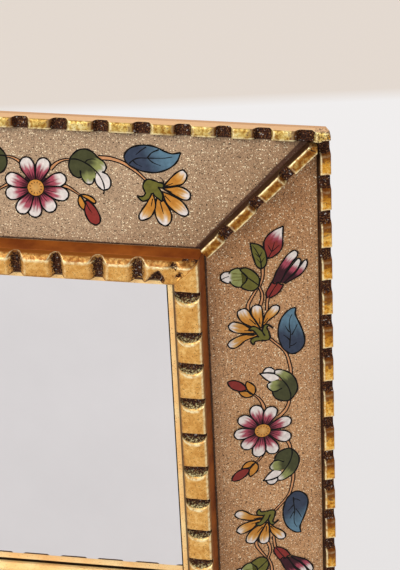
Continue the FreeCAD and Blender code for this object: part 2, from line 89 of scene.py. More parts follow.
SLOPE_LENGTH = math.hypot(PANEL_RUN, PANEL_DROP)
SLOPE_COS = PANEL_RUN / SLOPE_LENGTH
SLOPE_SIN = PANEL_DROP / SLOPE_LENGTH
PANEL_OUTER = -(EDGING_WIDTH * SLOPE_COS + EDGING_HEIGHT * SLOPE_SIN)
PANEL_INNER = PANEL_OUTER - PANEL_RUN
BEAD_OUTER = PANEL_INNER - BEVEL_WIDTH
BEAD_INNER = BEAD_OUTER - BEAD_WIDTH
SIGHT = BEAD_INNER - LIP_WIDTH
SEAT_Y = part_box("mirror_glass")[0].y / MM
PANEL_OUTER_Y = SEAT_Y + PANEL_DROP
LIP_Y = SEAT_Y - LIP_RISE

# Each side: turn about Y, half of its own length, half of the length across it
SIDES = {
    "top": (0, HALF_WIDTH, HALF_HEIGHT),
    "right": (90, HALF_HEIGHT, HALF_WIDTH),
    "bottom": (180, HALF_WIDTH, HALF_HEIGHT),
    "left": (270, HALF_HEIGHT, HALF_WIDTH),
}
LEVEL_SIDES = ("top", "bottom")
UPRIGHT_SIDES = ("right", "left")
CORNERS = {
    "top_right": (1, 1),
    "bottom_right": (1, -1),
    "bottom_left": (-1, -1),
    "top_left": (-1, 1),
}


def side_matrix(side):
    """From a side's own frame (along, depth, outward from the edge) in mm to metres."""
    turn, _, across = SIDES[side]
    return TO_METRES @ Matrix.Rotation(math.radians(turn), 4, "Y") @ Matrix.Translation((0, 0, across))


# Pieces

SHARP_ANGLE = 40
CUT_TOLERANCE = 1e-5
CORNER_FLATS = (80, 67, 55, 45)


def add_piece(name, bm, material, body="frame"):
    """Turn a bmesh into an object that rides on a body."""
    mesh = bpy.data.meshes.new(name)
    bm.to_mesh(mesh)
    bm.free()
    mesh.materials.append(material)
    piece = bpy.data.objects.new(name, mesh)
    bpy.context.scene.collection.objects.link(piece)
    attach(piece, body)
    return piece


def add_smooth_piece(name, bm, material, body="frame"):
    """A piece with its faces outward and smooth shading up to its sharp edges."""
    bmesh.ops.recalc_face_normals(bm, faces=bm.faces)
    piece = add_piece(name, bm, material, body)
    piece.data.polygons.foreach_set("use_smooth", [True] * len(piece.data.polygons))
    piece.data.set_sharp_from_angle(angle=math.radians(SHARP_ANGLE))
    return piece


def bridge(bm, ring, after):
    """Join two closed rings of vertices by quads."""
    count = len(ring)
    for i in range(count):
        j = (i + 1) % count
        bm.faces.new((ring[i], ring[j], after[j], after[i]))


def link_rings(bm, rings):
    """Join closed rings of vertices into a tube and cap both ends."""
    for ring, after in zip(rings, rings[1:]):
        bridge(bm, ring, after)
    bm.faces.new(rings[0])
    bm.faces.new(list(reversed(rings[-1])))


def split(bm, point, normal, clear_outer=False):
    """Cut every face that a plane crosses; clear_outer takes away what lies beyond the plane."""
    geometry = bm.verts[:] + bm.edges[:] + bm.faces[:]
    bmesh.ops.bisect_plane(
        bm, geom=geometry, dist=CUT_TOLERANCE, plane_co=point, plane_no=normal, clear_outer=clear_outer)


def cut_away(bm, point, normal):
    """Cut off what lies beyond a plane and close the cut."""
    split(bm, point, normal, clear_outer=True)
    bmesh.ops.holes_fill(bm, edges=[edge for edge in bm.edges if edge.is_boundary])


def cut_mitres(bm, half):
    """Cut both ends of a side's strip at the frame's mitres."""
    for way in (1, -1):
        cut_away(bm, (way * (half - MITRE_GAP), 0, 0), (way, 0, -1))


def round_corners(bm, half):
    """Take off the outer corner at each mitre in a few narrow flats."""
    for way in (1, -1):
        for degrees in CORNER_FLATS:
            angle = math.radians(degrees)
            normal = Vector((way * math.cos(angle), 0, math.sin(angle)))
            centre = Vector((way * (half - CORNER_ROUND), 0, -CORNER_ROUND))
            cut_away(bm, centre + normal * CORNER_ROUND, normal)


# Carved mouldings

CROWN_STEPS = 24
WALL_STEPS = 6
FINE_STEP = 0.4
COARSE_STEP = 1.6
NOTCH_MARGIN = 1.2
# What the carver's hand varies from notch to notch: depth and mouth as shares, and a slant
DEPTH_SPREAD = (0.9, 1.03)
LEAN_SPREAD = (-0.05, 0.05)
MOUTH_SPREAD = (0.9, 1.08)
# Unevenness of the whole strip and of its notches: how deep, how quick, and the step between seeds
HAND_WOBBLE = 0.13
WOBBLE_PACE = (0.16, 0.35, 0.3)
WOBBLE_SEED = 7.3
NOTCH_ROUGHNESS = 0.16
ROUGH_PACE = 0.9
ROUGH_SEED = 3.1
# What the notches leave at the foot, and how far rims, walls and shades reach
LEAST_LEFT = 0.3
RIM_BLEND = 0.5
RIM_WIDTH = 0.32
WALL_REACH = 0.3
NO_SHADE_GLAZE = 0.1
TIP_WAX = 0.42
TIP_FADE = 2
QUIRK_WIDTH = 0.7
MIDDLE_WIDTH = 1.3
# The uneven carving at a bead's mitres
LUMP_REACH = 15
LUMP_FADE = 4
LUMP_DEPTH = 5.5
LUMP_PACE = (0.2, 0.24)
LUMP_SEED = 1.7
LUMP_BIAS = 0.12
LUMP_WAX = 0.14


def within(value):
    """A value held between 0 and 1."""
    return min(1, max(0, value))


def bell(distance, width):
    return math.exp(-((distance / width) ** 2))


def soft_min(one, other, blend):
    """The smaller of two values, with the crossing eased."""
    near = max(blend - abs(one - other), 0) / blend
    return min(one, other) - near * near * blend / 4


@dataclass
class Moulding:
    """Section of a carved strip, its notches and the state of its leaf, in mm.

    Pairs are for the inner and the outer side, or for the two ends of the strip, or for the near and
    the far end of a notch.
    """

    width: float
    height: float
    foot: float  # level of the underside
    walls: tuple  # height of the upright sides
    ridge: float  # where the crown is highest, across the width
    powers: tuple  # how square the crown is on each side of its ridge
    mouth: float  # length of a notch at the top
    flat: float  # share of a notch that is its flat bottom
    depth: float  # depth of a notch
    waxed: tuple  # whether each side wall is dark with wax
    rubbed_highlight: tuple  # lines across the width where the leaf is rubbed pale, with a painted highlight
    rim_highlights: tuple  # how pale a notch's rim is at each end: rubbed leaf with a painted highlight
    tips: tuple = (0, 0)  # length of the strip's end that is dark with wax
    slope_shade: float = 0  # painted shade: brown on the slope outside the ridge
    bowl: float = 0  # how round a notch's far end is in plan
    steep: float = 1  # how much steeper a notch is at its near end
    wax: float = 1  # how thickly wax lies in the notches
    quirk_shade: float = 0  # painted shadow: brown along the inner edge
    middle_shade: float = 0  # brown along the middle
    worn_lit: float = 0  # how far the wax is worn off and painted lighter towards a notch's far end
    lumpy: bool = False  # whether the carving is uneven at the mitres

    def outline(self):
        """Points (across, up) of the uncut section, from one foot over the crown to the other."""
        rises = []
        for wall in self.walls:
            rises.append([self.foot + (wall - self.foot) * i / WALL_STEPS for i in range(WALL_STEPS)])
        points = [(0, up) for up in rises[0]]
        for step in range(CROWN_STEPS + 1):
            x = -math.cos(math.pi * step / CROWN_STEPS)
            power = self.powers[x > 0]
            reach = self.width - self.ridge if x > 0 else self.ridge
            crown = max(0, 1 - abs(x) ** power) ** (1 / power)
            wall = self.walls[x > 0]
            points.append((self.ridge + reach * x, wall + (self.height - wall) * crown))
        return points + [(self.width, up) for up in reversed(rises[1])]

    def notch_level(self, distance, depth):
        """Height of the notch's surface at a distance from its middle: a bell with a flat bottom."""
        past = distance - self.mouth / 2
        if past > 0:
            return self.height + past
        share = max(0, distance / (self.mouth / 2) - self.flat) / (1 - self.flat)
        return self.height - depth * (0.5 + 0.5 * math.cos(math.pi * share))

    def shade(self, across):
        """How brown the leaf is across the width, apart from its notches: painted shade on the slope and the
        inner edge, and a browner middle.
        """
        slope = self.slope_shade * (across > self.ridge)
        quirk = self.quirk_shade * bell(across, QUIRK_WIDTH)
        middle = self.middle_shade * bell(across - self.width / 2, MIDDLE_WIDTH)
        return max(slope, quirk, middle)


EDGING = Moulding(
    EDGING_WIDTH, EDGING_HEIGHT, -GLASS_THICKNESS, walls=(3.95, 3.95), ridge=EDGING_WIDTH / 2,
    powers=(3.6, 3.6), mouth=9.2, flat=0.38, depth=3.9, waxed=(True, False), rubbed_highlight=(0.5,), rim_highlights=(0.9, 0.2),
    tips=(9, 9), wax=1.15,
)
EDGING_ACROSS = replace(EDGING, mouth=9.8, wax=1.6)
STRIP = Moulding(
    STRIP_WIDTH, STRIP_HEIGHT, STRIP_FOOT, walls=(5.2, 5.2), ridge=STRIP_WIDTH / 2,
    powers=(4, 4), mouth=8.0, flat=0.38, depth=3.9, waxed=(True, True), rubbed_highlight=(0.5, 4.5), rim_highlights=(0.7, 0.7),
    tips=(2, 6), middle_shade=0.85,
)
# The bead across the frame has its ridge off the middle; the upright one is scooped from below
BEAD_ACROSS = Moulding(
    BEAD_WIDTH, BEAD_RISE, 0, walls=(4.2, 2.4), ridge=8.6,
    powers=(3.2, 1.15), mouth=8.8, flat=0.1, depth=4.2, waxed=(True, False), rubbed_highlight=(8.6,), rim_highlights=(0.12, 0.35),
    slope_shade=0.8, wax=0.9, quirk_shade=0.8, lumpy=True,
)
BEAD_UPRIGHT = Moulding(
    BEAD_WIDTH, BEAD_RISE, 0, walls=(2.4, 2.4), ridge=BEAD_WIDTH / 2,
    powers=(3.2, 3.2), mouth=10.2, flat=0.1, depth=4.2, waxed=(True, False), rubbed_highlight=(10.5,), rim_highlights=(0.1, 1.0),
    bowl=0.85, steep=1.9, wax=3.0, quirk_shade=0.8, worn_lit=1,
)


@dataclass
class Notch:
    """One notch as the carver's hand left it."""

    middle: float
    depth: float
    lean: float
    spread: float


def stations(low, high, middles, mouth):
    """Places along a strip: close together in the notches and wider between them."""
    places = {low, high}
    reach = mouth / 2 + NOTCH_MARGIN
    for middle in middles:
        count = int(2 * reach / FINE_STEP)
        for i in range(count + 1):
            place = middle - reach + i * FINE_STEP
            if low < place < high:
                places.add(round(place, 4))
    ordered = sorted(places)
    filled = []
    for place, after in zip(ordered, ordered[1:]):
        gaps = max(1, round((after - place) / COARSE_STEP))
        filled += [place + (after - place) * i / gaps for i in range(gaps)]
    return filled + [high]


def lump_depth(moulding, along, across, end, seed):
    """How far the uneven carving at a bead's mitre dips below its section."""
    to_mitre = end - moulding.width + across - abs(along)
    near = within((LUMP_REACH - to_mitre) / LUMP_FADE)
    spot = (along * LUMP_PACE[0], across * LUMP_PACE[1], seed * LUMP_SEED)
    dip = max(0, noise.noise(spot) + LUMP_BIAS)
    return moulding.lumpy * near * dip * LUMP_DEPTH


def wobble_depth(along, across, up, seed):
    """How far the hand's unevenness lowers a strip's surface."""
    spot = (along * WOBBLE_PACE[0] + seed * WOBBLE_SEED, across * WOBBLE_PACE[1], up * WOBBLE_PACE[2])
    return (noise.noise(spot) * 0.5 + 0.5) * HAND_WOBBLE


def carve_point(moulding, notches, along, across, level, start, seed, way, shade_glaze_reach):
    """Level of a point after carving, and its rubbed leaf, worn wax and glaze, with their painted highlight,
    light and shade.

    level is the uncut section there, and start is what the carving begins from.
    """
    surface = start
    worn_lit = 0
    shade_glazed = 0
    sloping = bool(moulding.slope_shade) and across > moulding.ridge
    rubbed_highlight = max(bell(across - edge, RIM_WIDTH) for edge in moulding.rubbed_highlight)
    bowl = math.sqrt(1 - moulding.bowl * (2 * across / moulding.width - 1) ** 2)
    rough = noise.noise((along * ROUGH_PACE, across * ROUGH_PACE, seed * ROUGH_SEED)) * NOTCH_ROUGHNESS
    for notch in notches:
        offset = (along - notch.middle - notch.lean * (across - moulding.width / 2)) / notch.spread
        past = offset * way
        if past > 0:
            shade_glazed = max(shade_glazed, bell(past, shade_glaze_reach))
        if abs(offset) >= moulding.mouth:
            continue
        distance = past / bowl if past > 0 else -past * moulding.steep
        cut_level = moulding.notch_level(distance, notch.depth) + rough
        surface = soft_min(surface, cut_level, RIM_BLEND)
        # A notch's rim is rubbed pale and gets a painted highlight
        rim = 1 if sloping else moulding.rim_highlights[past > 0]
        rubbed_highlight = max(rubbed_highlight, rim * bell(cut_level - level, RIM_WIDTH))
        if past > 0 and distance < moulding.mouth:
            worn_lit = max(worn_lit, moulding.worn_lit * min(1, 2 * distance / moulding.mouth))
    return surface, rubbed_highlight, worn_lit, shade_glazed


def carve(bm, moulding, low, high, middles, place, seed, way=1, shade_glaze_reach=NO_SHADE_GLAZE):
    """Sweep a moulding along x from low to high and carve its notches.

    place(along, across, up) gives the point; way is where a notch's far end lies, with the brown glaze and
    painted shade reaching beyond it. The layers tell the finish how deep a point lies in a notch, whether it
    is on a waxed or a bare side wall, how near it is to the rubbed edges with their painted highlight and to
    the glazed end of a block in painted shade, how brown the leaf is there, and how far the wax is worn off
    and painted lighter.
    """
    chance = random.Random(seed)
    notches = []
    for middle in middles:
        depth = moulding.depth * chance.uniform(*DEPTH_SPREAD)
        lean = chance.uniform(*LEAN_SPREAD)
        notches.append(Notch(middle, depth, lean, chance.uniform(*MOUTH_SPREAD)))
    names = ("carved", "waxed", "bare", "rubbed_highlight", "shade_glazed", "shaded", "worn_lit")
    layers = [bm.verts.layers.float.new(name) for name in names]
    outline = moulding.outline()
    rings = []
    for along in stations(low, high, middles, moulding.mouth):
        past_tip = max(moulding.tips[0] - (along - low), moulding.tips[1] - (high - along))
        tip_wax = TIP_WAX * within(past_tip / TIP_FADE)
        ring = []
        for across, up in outline:
            level = up - wobble_depth(along, across, up, seed) if up > moulding.walls[1] / 2 else up
            dip = lump_depth(moulding, along, across, high, seed)
            surface, rubbed_highlight, worn_lit, shade_glazed = carve_point(
                moulding, notches, along, across, level, level - dip, seed, way, shade_glaze_reach)
            surface = max(surface, moulding.foot + LEAST_LEFT) if up > moulding.foot else up
            inner = max(0, 1 - across / WALL_REACH)
            outer = max(0, 1 - (moulding.width - across) / WALL_REACH)
            carved = within(moulding.wax * (level - surface) / moulding.depth + LUMP_WAX * dip)
            waxed = inner * moulding.waxed[0] + outer * moulding.waxed[1]
            bare = outer * (not moulding.waxed[1])
            values = (max(carved, tip_wax), waxed, bare, rubbed_highlight, shade_glazed, moulding.shade(across), worn_lit)
            vert = bm.verts.new(place(along, across, surface))
            for layer, value in zip(layers, values):
                vert[layer] = value
            ring.append(vert)
        rings.append(ring)
    link_rings(bm, rings)


def edging_place(along, across, up):
    """A point of the outer edging, which stands square to the sloping panel."""
    outward = PANEL_OUTER + across * SLOPE_COS + up * SLOPE_SIN
    return (along, PANEL_OUTER_Y + across * SLOPE_SIN - up * SLOPE_COS, outward)


def bead_place(along, across, up):
    """A point of the bead, which stands on the fillet's lip."""
    return (along, LIP_Y - up, BEAD_INNER + across)


# Hand-cut notches along each strip; a side strip's x runs down on the right and up on the left
UPRIGHT_BEAD = [-81.7, -60.7, -44.2, -25.2, -6, 12.8, 31.3, 49.3, 66.8]
UPRIGHT_EDGING = [
    -145, -128, -110.5, -92, -75, -57, -39.5, -21.4, -1.3, 17.4, 34.4, 51.6, 69.3, 87, 105, 123, 141,
]
ACROSS_BEAD = [-43.6, -26.2, -8.4, 9.4, 27.4, 44.5]
ACROSS_EDGING = [-114, -95, -78.5, -60.5, -42, -24.4, -6.6, 10, 28, 45.6, 62.9, 80, 96.4, 114]
NOTCHES = {
    "top": (ACROSS_BEAD, ACROSS_EDGING),
    "right": (UPRIGHT_BEAD, UPRIGHT_EDGING),
    "bottom": ([-x for x in ACROSS_BEAD], [-x for x in ACROSS_EDGING]),
    "left": ([-x for x in UPRIGHT_BEAD], [-x for x in UPRIGHT_EDGING]),
}
# Brown glaze with painted shade lies on the upper end of the upright blocks, and thinly on one end of the
# others
SHADE_GLAZE_WAYS = {"top": (-1, 6.4), "right": (1, 9.0), "bottom": (-1, 6.4), "left": (-1, 9.0)}


def build_edging(side, material, seed):
    """The notched edging round the outside of one panel."""
    half = SIDES[side][1]
    bm = bmesh.new()
    edging = EDGING_ACROSS if side in LEVEL_SIDES else EDGING
    carve(bm, edging, -half, half, NOTCHES[side][1], edging_place, seed, *SHADE_GLAZE_WAYS[side])
    cut_mitres(bm, half)
    round_corners(bm, half)
    bm.transform(side_matrix(side))
    piece = add_smooth_piece(f"edging_carved_{side}", bm, material)
    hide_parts(f"edging_{side}")


def build_bead(side, material, seed):
    """The notched bead on one side's fillet."""
    half = SIDES[side][1]
    bm = bmesh.new()
    reach = half + BEAD_OUTER
    if side in LEVEL_SIDES:
        carve(bm, BEAD_ACROSS, -reach, reach, NOTCHES[side][0], bead_place, seed)
    else:
        carve(bm, BEAD_UPRIGHT, -reach, reach, NOTCHES[side][0], bead_place, seed, SHADE_GLAZE_WAYS[side][0])
    cut_mitres(bm, half)
    bm.transform(side_matrix(side))
    piece = add_smooth_piece(f"bead_carved_{side}", bm, material)
    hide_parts(f"notched_bead_{side}")


STRIP_NOTCHES = [13.5, 32, 50]
STRIP_END_GAP = 0.4


def build_mitre_strip(corner, material, seed):
    """The carved strip over the joint between two panels, pointed at the outer corner."""
    x_way, z_way = CORNERS[corner]
    length = math.sqrt(2 * PANEL_RUN ** 2 + PANEL_DROP ** 2)
    along = Vector((x_way * PANEL_RUN, PANEL_DROP, z_way * PANEL_RUN)).normalized()
    across = along.cross(Vector((0, 1, 0))).normalized()
    upward = along.cross(across)
    if upward.y > 0:
        upward.negate()
    start = Vector((x_way * (HALF_WIDTH + PANEL_INNER), SEAT_Y, z_way * (HALF_HEIGHT + PANEL_INNER)))

    def strip_place(reach, aside, up):
        return start + along * reach + across * (aside - STRIP_WIDTH / 2) + upward * (up + MITRE_GAP)

    bm = bmesh.new()
    carve(bm, STRIP, STRIP_END_GAP, length, STRIP_NOTCHES, strip_place, seed)
    tip = start + along * (length - STRIP_END_GAP)
    for way in (1, -1):
        cut_away(bm, tip, along + across * way)
    bm.transform(TO_METRES)
    piece = add_smooth_piece(f"mitre_strip_carved_{corner}", bm, material)
    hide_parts(f"mitre_strip_{corner}")


FILLET_ROUND = 0.55
ROUND_SEGMENTS = 3
SAME_LEVEL = 0.01


def build_sight_fillet(side, material):
    """The plain fillet under the bead, with its lip's edges eased."""
    half = SIDES[side][1]
    section = [(SEAT_Y, SIGHT), (LIP_Y, SIGHT), (LIP_Y, BEAD_OUTER), (SEAT_Y, PANEL_INNER)]
    bm = bmesh.new()
    rings = [[bm.verts.new((x, y, out)) for y, out in section] for x in (-half, half)]
    link_rings(bm, rings)
    lip_edges = []
    for edge in bm.edges:
        one, other = edge.verts
        apart = abs(one.co.y - LIP_Y) + abs(other.co.y - LIP_Y)
        if abs(one.co.x - other.co.x) > half and apart < SAME_LEVEL:
            lip_edges.append(edge)
    bmesh.ops.bevel(
        bm, geom=lip_edges, offset=FILLET_ROUND, segments=ROUND_SEGMENTS, profile=0.5, affect="EDGES")
    cut_mitres(bm, half)
    toned = bm.verts.layers.float.new("toned")
    for vert in bm.verts:
        vert[toned] = float(vert.co.z > BEAD_INNER)
    bm.transform(side_matrix(side))
    piece = add_smooth_piece(f"sight_fillet_eased_{side}", bm, material)
    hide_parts(f"sight_fillet_{side}")


# Fasteners and hanging rings on the back

HEAD_RADIUS = 3.0
HEAD_HEIGHT = 1.4
HEAD_EDGE = 0.5
DOME_STEP = 12
STEM_RADIUS = 1.5
POINT_LENGTH = 2.0
POINT_RADIUS = 0.2
RECESS_REACH = 1.7
RECESS_HALF = 0.4
RECESS_DEPTH = 0.8
ROUND_SIDES = 32


def round_ring(bm, radius, y):
    """A ring of vertices about the Y axis."""
    turns = [2 * math.pi * i / ROUND_SIDES for i in range(ROUND_SIDES)]
    return [bm.verts.new((radius * math.cos(turn), y, radius * math.sin(turn))) for turn in turns]


def sink_recess(bm, seat):
    """Press a cross into the top of a screw's head."""
    for axis in (Vector((1, 0, 0)), Vector((0, 0, 1))):
        for offset in (-RECESS_REACH, -RECESS_HALF, RECESS_HALF, RECESS_REACH):
            split(bm, axis * offset, axis)
    cross = []
    for face in bm.faces:
        middle = face.calc_center_median()
        short, far = sorted((abs(middle.x), abs(middle.z)))
        if middle.y > seat + HEAD_EDGE and short < RECESS_HALF and far < RECESS_REACH:
            cross.append(face)
    made = bmesh.ops.extrude_face_region(bm, geom=cross)
    sunk = [item for item in made["geom"] if isinstance(item, bmesh.types.BMVert)]
    bmesh.ops.translate(bm, verts=sunk, vec=(0, -RECESS_DEPTH, 0))


def screw_mesh(top, tip):
    """A screw along Y with a domed head and a cross recess, from its tip to the top of its head."""
    seat = top - HEAD_HEIGHT
    profile = [
        (POINT_RADIUS, tip), (STEM_RADIUS, tip + POINT_LENGTH), (STEM_RADIUS, seat), (HEAD_RADIUS, seat),
    ]
    for degrees in range(0, 90, DOME_STEP):
        angle = math.radians(degrees)
        drop = (HEAD_HEIGHT - HEAD_EDGE) * (1 - math.sin(angle))
        profile.append((HEAD_RADIUS * math.cos(angle), top - drop))
    bm = bmesh.new()
    link_rings(bm, [round_ring(bm, radius, y) for radius, y in profile])
    sink_recess(bm, seat)
    mesh = bpy.data.meshes.new("screw")
    bm.to_mesh(mesh)
    bm.free()
    return mesh


def build_screws(node, material):
    """All the screws of one node, in the places that its box gives."""
    low, high = [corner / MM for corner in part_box(node)]
    right = high.x - HEAD_RADIUS
    upper = high.z - HEAD_RADIUS
    if node == "turn_button_screws":
        places = [(0, upper), (right, 0), (0, -upper), (-right, 0)]
    else:
        places = [(x, z) for x in (right, -right) for z in (upper, low.z + HEAD_RADIUS)]
    screw = screw_mesh(high.y, low.y)
    bm = bmesh.new()
    for x, z in places:
        known = set(bm.verts)
        bm.from_mesh(screw)
        added = [vert for vert in bm.verts if vert not in known]
        bmesh.ops.translate(bm, verts=added, vec=(x, 0, z))
    bpy.data.meshes.remove(screw)
    bm.transform(TO_METRES)
    piece = add_smooth_piece(f"{node}_recessed", bm, material)
    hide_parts(node)


RING_WIDTH = 16.0
RING_DEPTH = 15.0
RING_CORNER = 2.4
RING_SLACK = 0.9
WIRE_RADIUS = 0.9
WIRE_SIDES = 16
CORNER_STEPS = 6
BOW_STEPS = 24
SAME_POINT = 1e-4


def build_ring(side, material):
    """A D-shaped ring of round wire in the strap's knuckle, leaning back on the rail."""
    half = RING_WIDTH / 2
    bar = half - RING_CORNER
    # Quarter turns of the wire: middle, radius, starting angle and steps
    arcs = [
        (bar, RING_CORNER, RING_CORNER, -90, CORNER_STEPS),
        (0, RING_DEPTH - half, half, 0, BOW_STEPS),
        (0, RING_DEPTH - half, half, 90, BOW_STEPS),
        (-bar, RING_CORNER, RING_CORNER, 180, CORNER_STEPS),
    ]
    bm = bmesh.new()
    rings = []
    for x, z, radius, start, steps in arcs:
        for i in range(steps + 1):
            turn = math.radians(start + 90 * i / steps)
            outward = Vector((math.cos(turn), 0, math.sin(turn)))
            ring = []
            for j in range(WIRE_SIDES):
                angle = 2 * math.pi * j / WIRE_SIDES
                reach = outward * (radius + WIRE_RADIUS * math.cos(angle))
                ring.append(bm.verts.new(Vector((x, WIRE_RADIUS * math.sin(angle), z)) + reach))
            rings.append(ring)
    for ring, after in zip(rings, rings[1:] + rings[:1]):
        bridge(bm, ring, after)
    bmesh.ops.remove_doubles(bm, verts=bm.verts, dist=SAME_POINT)
    joints = {joint["name"]: joint for joint in frame["record"]["behaviour"]["joints"]}
    pivot = Vector(joints[f"hanger_ring_{side}_swing"]["pos_m"])
    lean = Matrix.Rotation(math.asin(RING_SLACK / RING_DEPTH), 4, "X")
    bm.transform(Matrix.Translation(pivot) @ lean @ TO_METRES)
    name = f"hanger_ring_round_{side}"
    piece = add_smooth_piece(name, bm, material, f"hanger_ring_{side}")
    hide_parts(f"hanger_ring_{side}")


# Painted ornament on the panels, in mm: u along the rail from its middle, v from the mirror outward

def linear(red, green, blue):
    """A display colour (0 to 255) as linear light."""
    parts = []
    for part in (red, green, blue):
        part /= 255
        parts.append(part / 12.92 if part <= 0.04045 else ((part + 0.055) / 1.055) ** 2.4)
    return Vector(parts)


WHITE = linear(228, 218, 212)
ROSE = linear(166, 74, 90)
MAROON = linear(100, 34, 48)
DARK_MAROON = linear(62, 26, 34)
OCHRE = linear(198, 132, 52)
PALE_OCHRE = linear(214, 166, 98)
OLIVE = linear(106, 102, 44)
NAVY = linear(56, 65, 84)
STEEL = linear(94, 126, 146)
DARK_GREEN = linear(70, 71, 44)
LIGHT_GREEN = linear(142, 146, 88)
BRICK = linear(138, 50, 44)
PEACH = linear(206, 146, 100)
OUTLINE = linear(12, 10, 9)
LINE_WIDTH = 0.72
FIRST_LIFT = 0.01
LAYER_STEP = 0.003
# How a brush line swells and thins along its way
SWELL = 0.16
SWELL_PACE = 0.5
SWELL_PHASES = 6
SHAPE_STEPS = 22
SHAPE_COLUMNS = 9
STEM_INSET = 0.6
LEAST_STEM = 0.25
LEAST_LENGTH = 1e-9


def blend_stops(stops, place):
    """Colour at a place along a list of (place, colour) stops."""
    for (low, one), (high, other) in zip(stops, stops[1:]):
        if place <= high:
            share = (place - low) / (high - low)
            return one.lerp(other, max(0, share))
    return stops[-1][1]


def smooth_path(points, steps=7):
    """Points along a smooth curve through the given ones."""
    spots = [Vector(point) for point in points]
    ends = [spots[0] * 2 - spots[1]] + spots + [spots[-1] * 2 - spots[-2]]
    path = []
    for before, start, end, after in zip(ends, ends[1:], ends[2:], ends[3:]):
        slope = end - before
        bend = 2 * before - 5 * start + 4 * end - after
        twist = 3 * start - before - 3 * end + after
        for i in range(steps):
            share = i / steps
            path.append(0.5 * (2 * start + slope * share + bend * share ** 2 + twist * share ** 3))
    return path + [spots[-1]]


def even_path(points, count):
    """A smooth curve cut into equal lengths."""
    path = smooth_path(points)
    lengths = [0]
    for one, other in zip(path, path[1:]):
        lengths.append(lengths[-1] + (other - one).length)
    spots = []
    step = 0
    for i in range(count + 1):
        target = lengths[-1] * i / count
        while step < len(path) - 2 and lengths[step + 1] < target:
            step += 1
        share = (target - lengths[step]) / max(lengths[step + 1] - lengths[step], LEAST_LENGTH)
        spots.append(path[step].lerp(path[step + 1], min(1, share)))
    return spots


class Painting:
    """Flat coloured shapes for one panel, each a little in front of those before it."""

    def __init__(self, seed):
        self.points = []
        self.colours = []
        self.faces = []
        self.lift = FIRST_LIFT
        self.way = 1
        self.chance = random.Random(seed)

    def add_grid(self, rows):
        """Rows of (u, v, colour) become a grid of quads on the next layer."""
        self.lift += LAYER_STEP
        first = len(self.points)
        width = len(rows[0])
        for row in rows:
            for u, v, colour in row:
                self.points.append((u * self.way, v, self.lift))
                self.colours.append(colour)
        for i in range(len(rows) - 1):
            for j in range(width - 1):
                corner = first + i * width + j
                self.faces.append((corner, corner + 1, corner + width + 1, corner + width))

    def ribbon(self, path, widths, colour):
        """A line along a path with a width at each point."""
        rows = []
        for i, spot in enumerate(path):
            before = path[max(i - 1, 0)]
            after = path[min(i + 1, len(path) - 1)]
            normal = (after - before).orthogonal().normalized() * widths[i] / 2
            rows.append([(*(spot - normal), colour), (*(spot + normal), colour)])
        self.add_grid(rows)

    def stroke(self, points, start=LINE_WIDTH, end=LINE_WIDTH, colour=OUTLINE):
        """A brush line through a few points, swelling a little and changing width from start to end."""
        path = smooth_path(points)
        count = len(path) - 1
        phase = self.chance.uniform(0, SWELL_PHASES)
        widths = []
        for i in range(len(path)):
            swell = 1 + SWELL * math.sin(phase + SWELL_PACE * i)
            widths.append((start + (end - start) * i / count) * swell)
        self.ribbon(path, widths, colour)

    def strokes(self, lines, start=LINE_WIDTH, end=LINE_WIDTH, colour=OUTLINE):
        """Several brush lines of one kind."""
        for points in lines:
            self.stroke(points, start, end, colour)

    def shape(self, left, right, stops, line=True, streak=0.05):
        """A form between two edges that run from its base to its tip, coloured from base to tip."""
        one = even_path(left, SHAPE_STEPS)
        other = even_path(right, SHAPE_STEPS)
        shifts = [self.chance.uniform(-streak, streak) for _ in range(SHAPE_COLUMNS + 1)]
        rows = []
        for i in range(SHAPE_STEPS + 1):
            row = []
            for j, shift in enumerate(shifts):
                spot = one[i].lerp(other[i], j / SHAPE_COLUMNS)
                colour = blend_stops(stops, within(i / SHAPE_STEPS + shift))
                row.append((spot.x, spot.y, colour))
            rows.append(row)
        self.add_grid(rows)
        if line:
            self.strokes((left, right))

    def shapes(self, edges, stops, **manner):
        """Several forms of one kind, each given by its two edges."""
        for left, right in edges:
            self.shape(left, right, stops, **manner)

    def stem(self, points, start, end):
        """A peach stem with a dark line on each side, its width changing from start to end."""
        path = smooth_path(points)
        count = len(path) - 1
        widths = [start + (end - start) * i / count for i in range(len(path))]
        self.ribbon(path, [width + LINE_WIDTH for width in widths], OUTLINE)
        self.ribbon(path, [max(width - LINE_WIDTH * STEM_INSET, LEAST_STEM) for width in widths], PEACH)


def plain(colour):
    """Stops of one colour all along."""
    return [(0, colour), (1, colour)]


PETAL_STOPS = [(0, DARK_MAROON), (0.16, MAROON), (0.34, ROSE), (0.46, ROSE), (0.62, WHITE), (1, WHITE)]
YELLOW_STOPS = [(0, OCHRE), (0.5, OCHRE), (0.66, PALE_OCHRE), (0.8, WHITE), (1, WHITE)]
LOBE_STOPS = [
    (0, DARK_GREEN), (0.2, DARK_GREEN), (0.48, LIGHT_GREEN), (0.62, LIGHT_GREEN), (0.86, WHITE), (1, WHITE),
]
LEAF_STOPS = [(0, NAVY), (0.42, NAVY), (0.6, STEEL.lerp(NAVY, 0.4)), (0.72, STEEL), (1, STEEL)]
CUP_STOPS = [(0, DARK_MAROON), (0.4, DARK_MAROON), (0.5, ROSE), (0.62, ROSE), (0.74, WHITE), (1, WHITE)]
BUD_STOPS = [(0, BRICK), (0.46, BRICK), (0.58, ROSE), (0.72, WHITE), (1, WHITE)]
TUFT_STOPS = [(0, LIGHT_GREEN), (0.7, LIGHT_GREEN), (0.95, WHITE), (1, WHITE)]
# Half of a daisy petal: (share of the length from the heart's middle, half width)
PETAL_EDGE = [(0.2, 1.0), (0.44, 2.1), (0.68, 3.0), (0.88, 2.6), (0.97, 1.3), (1.0, 0.0)]
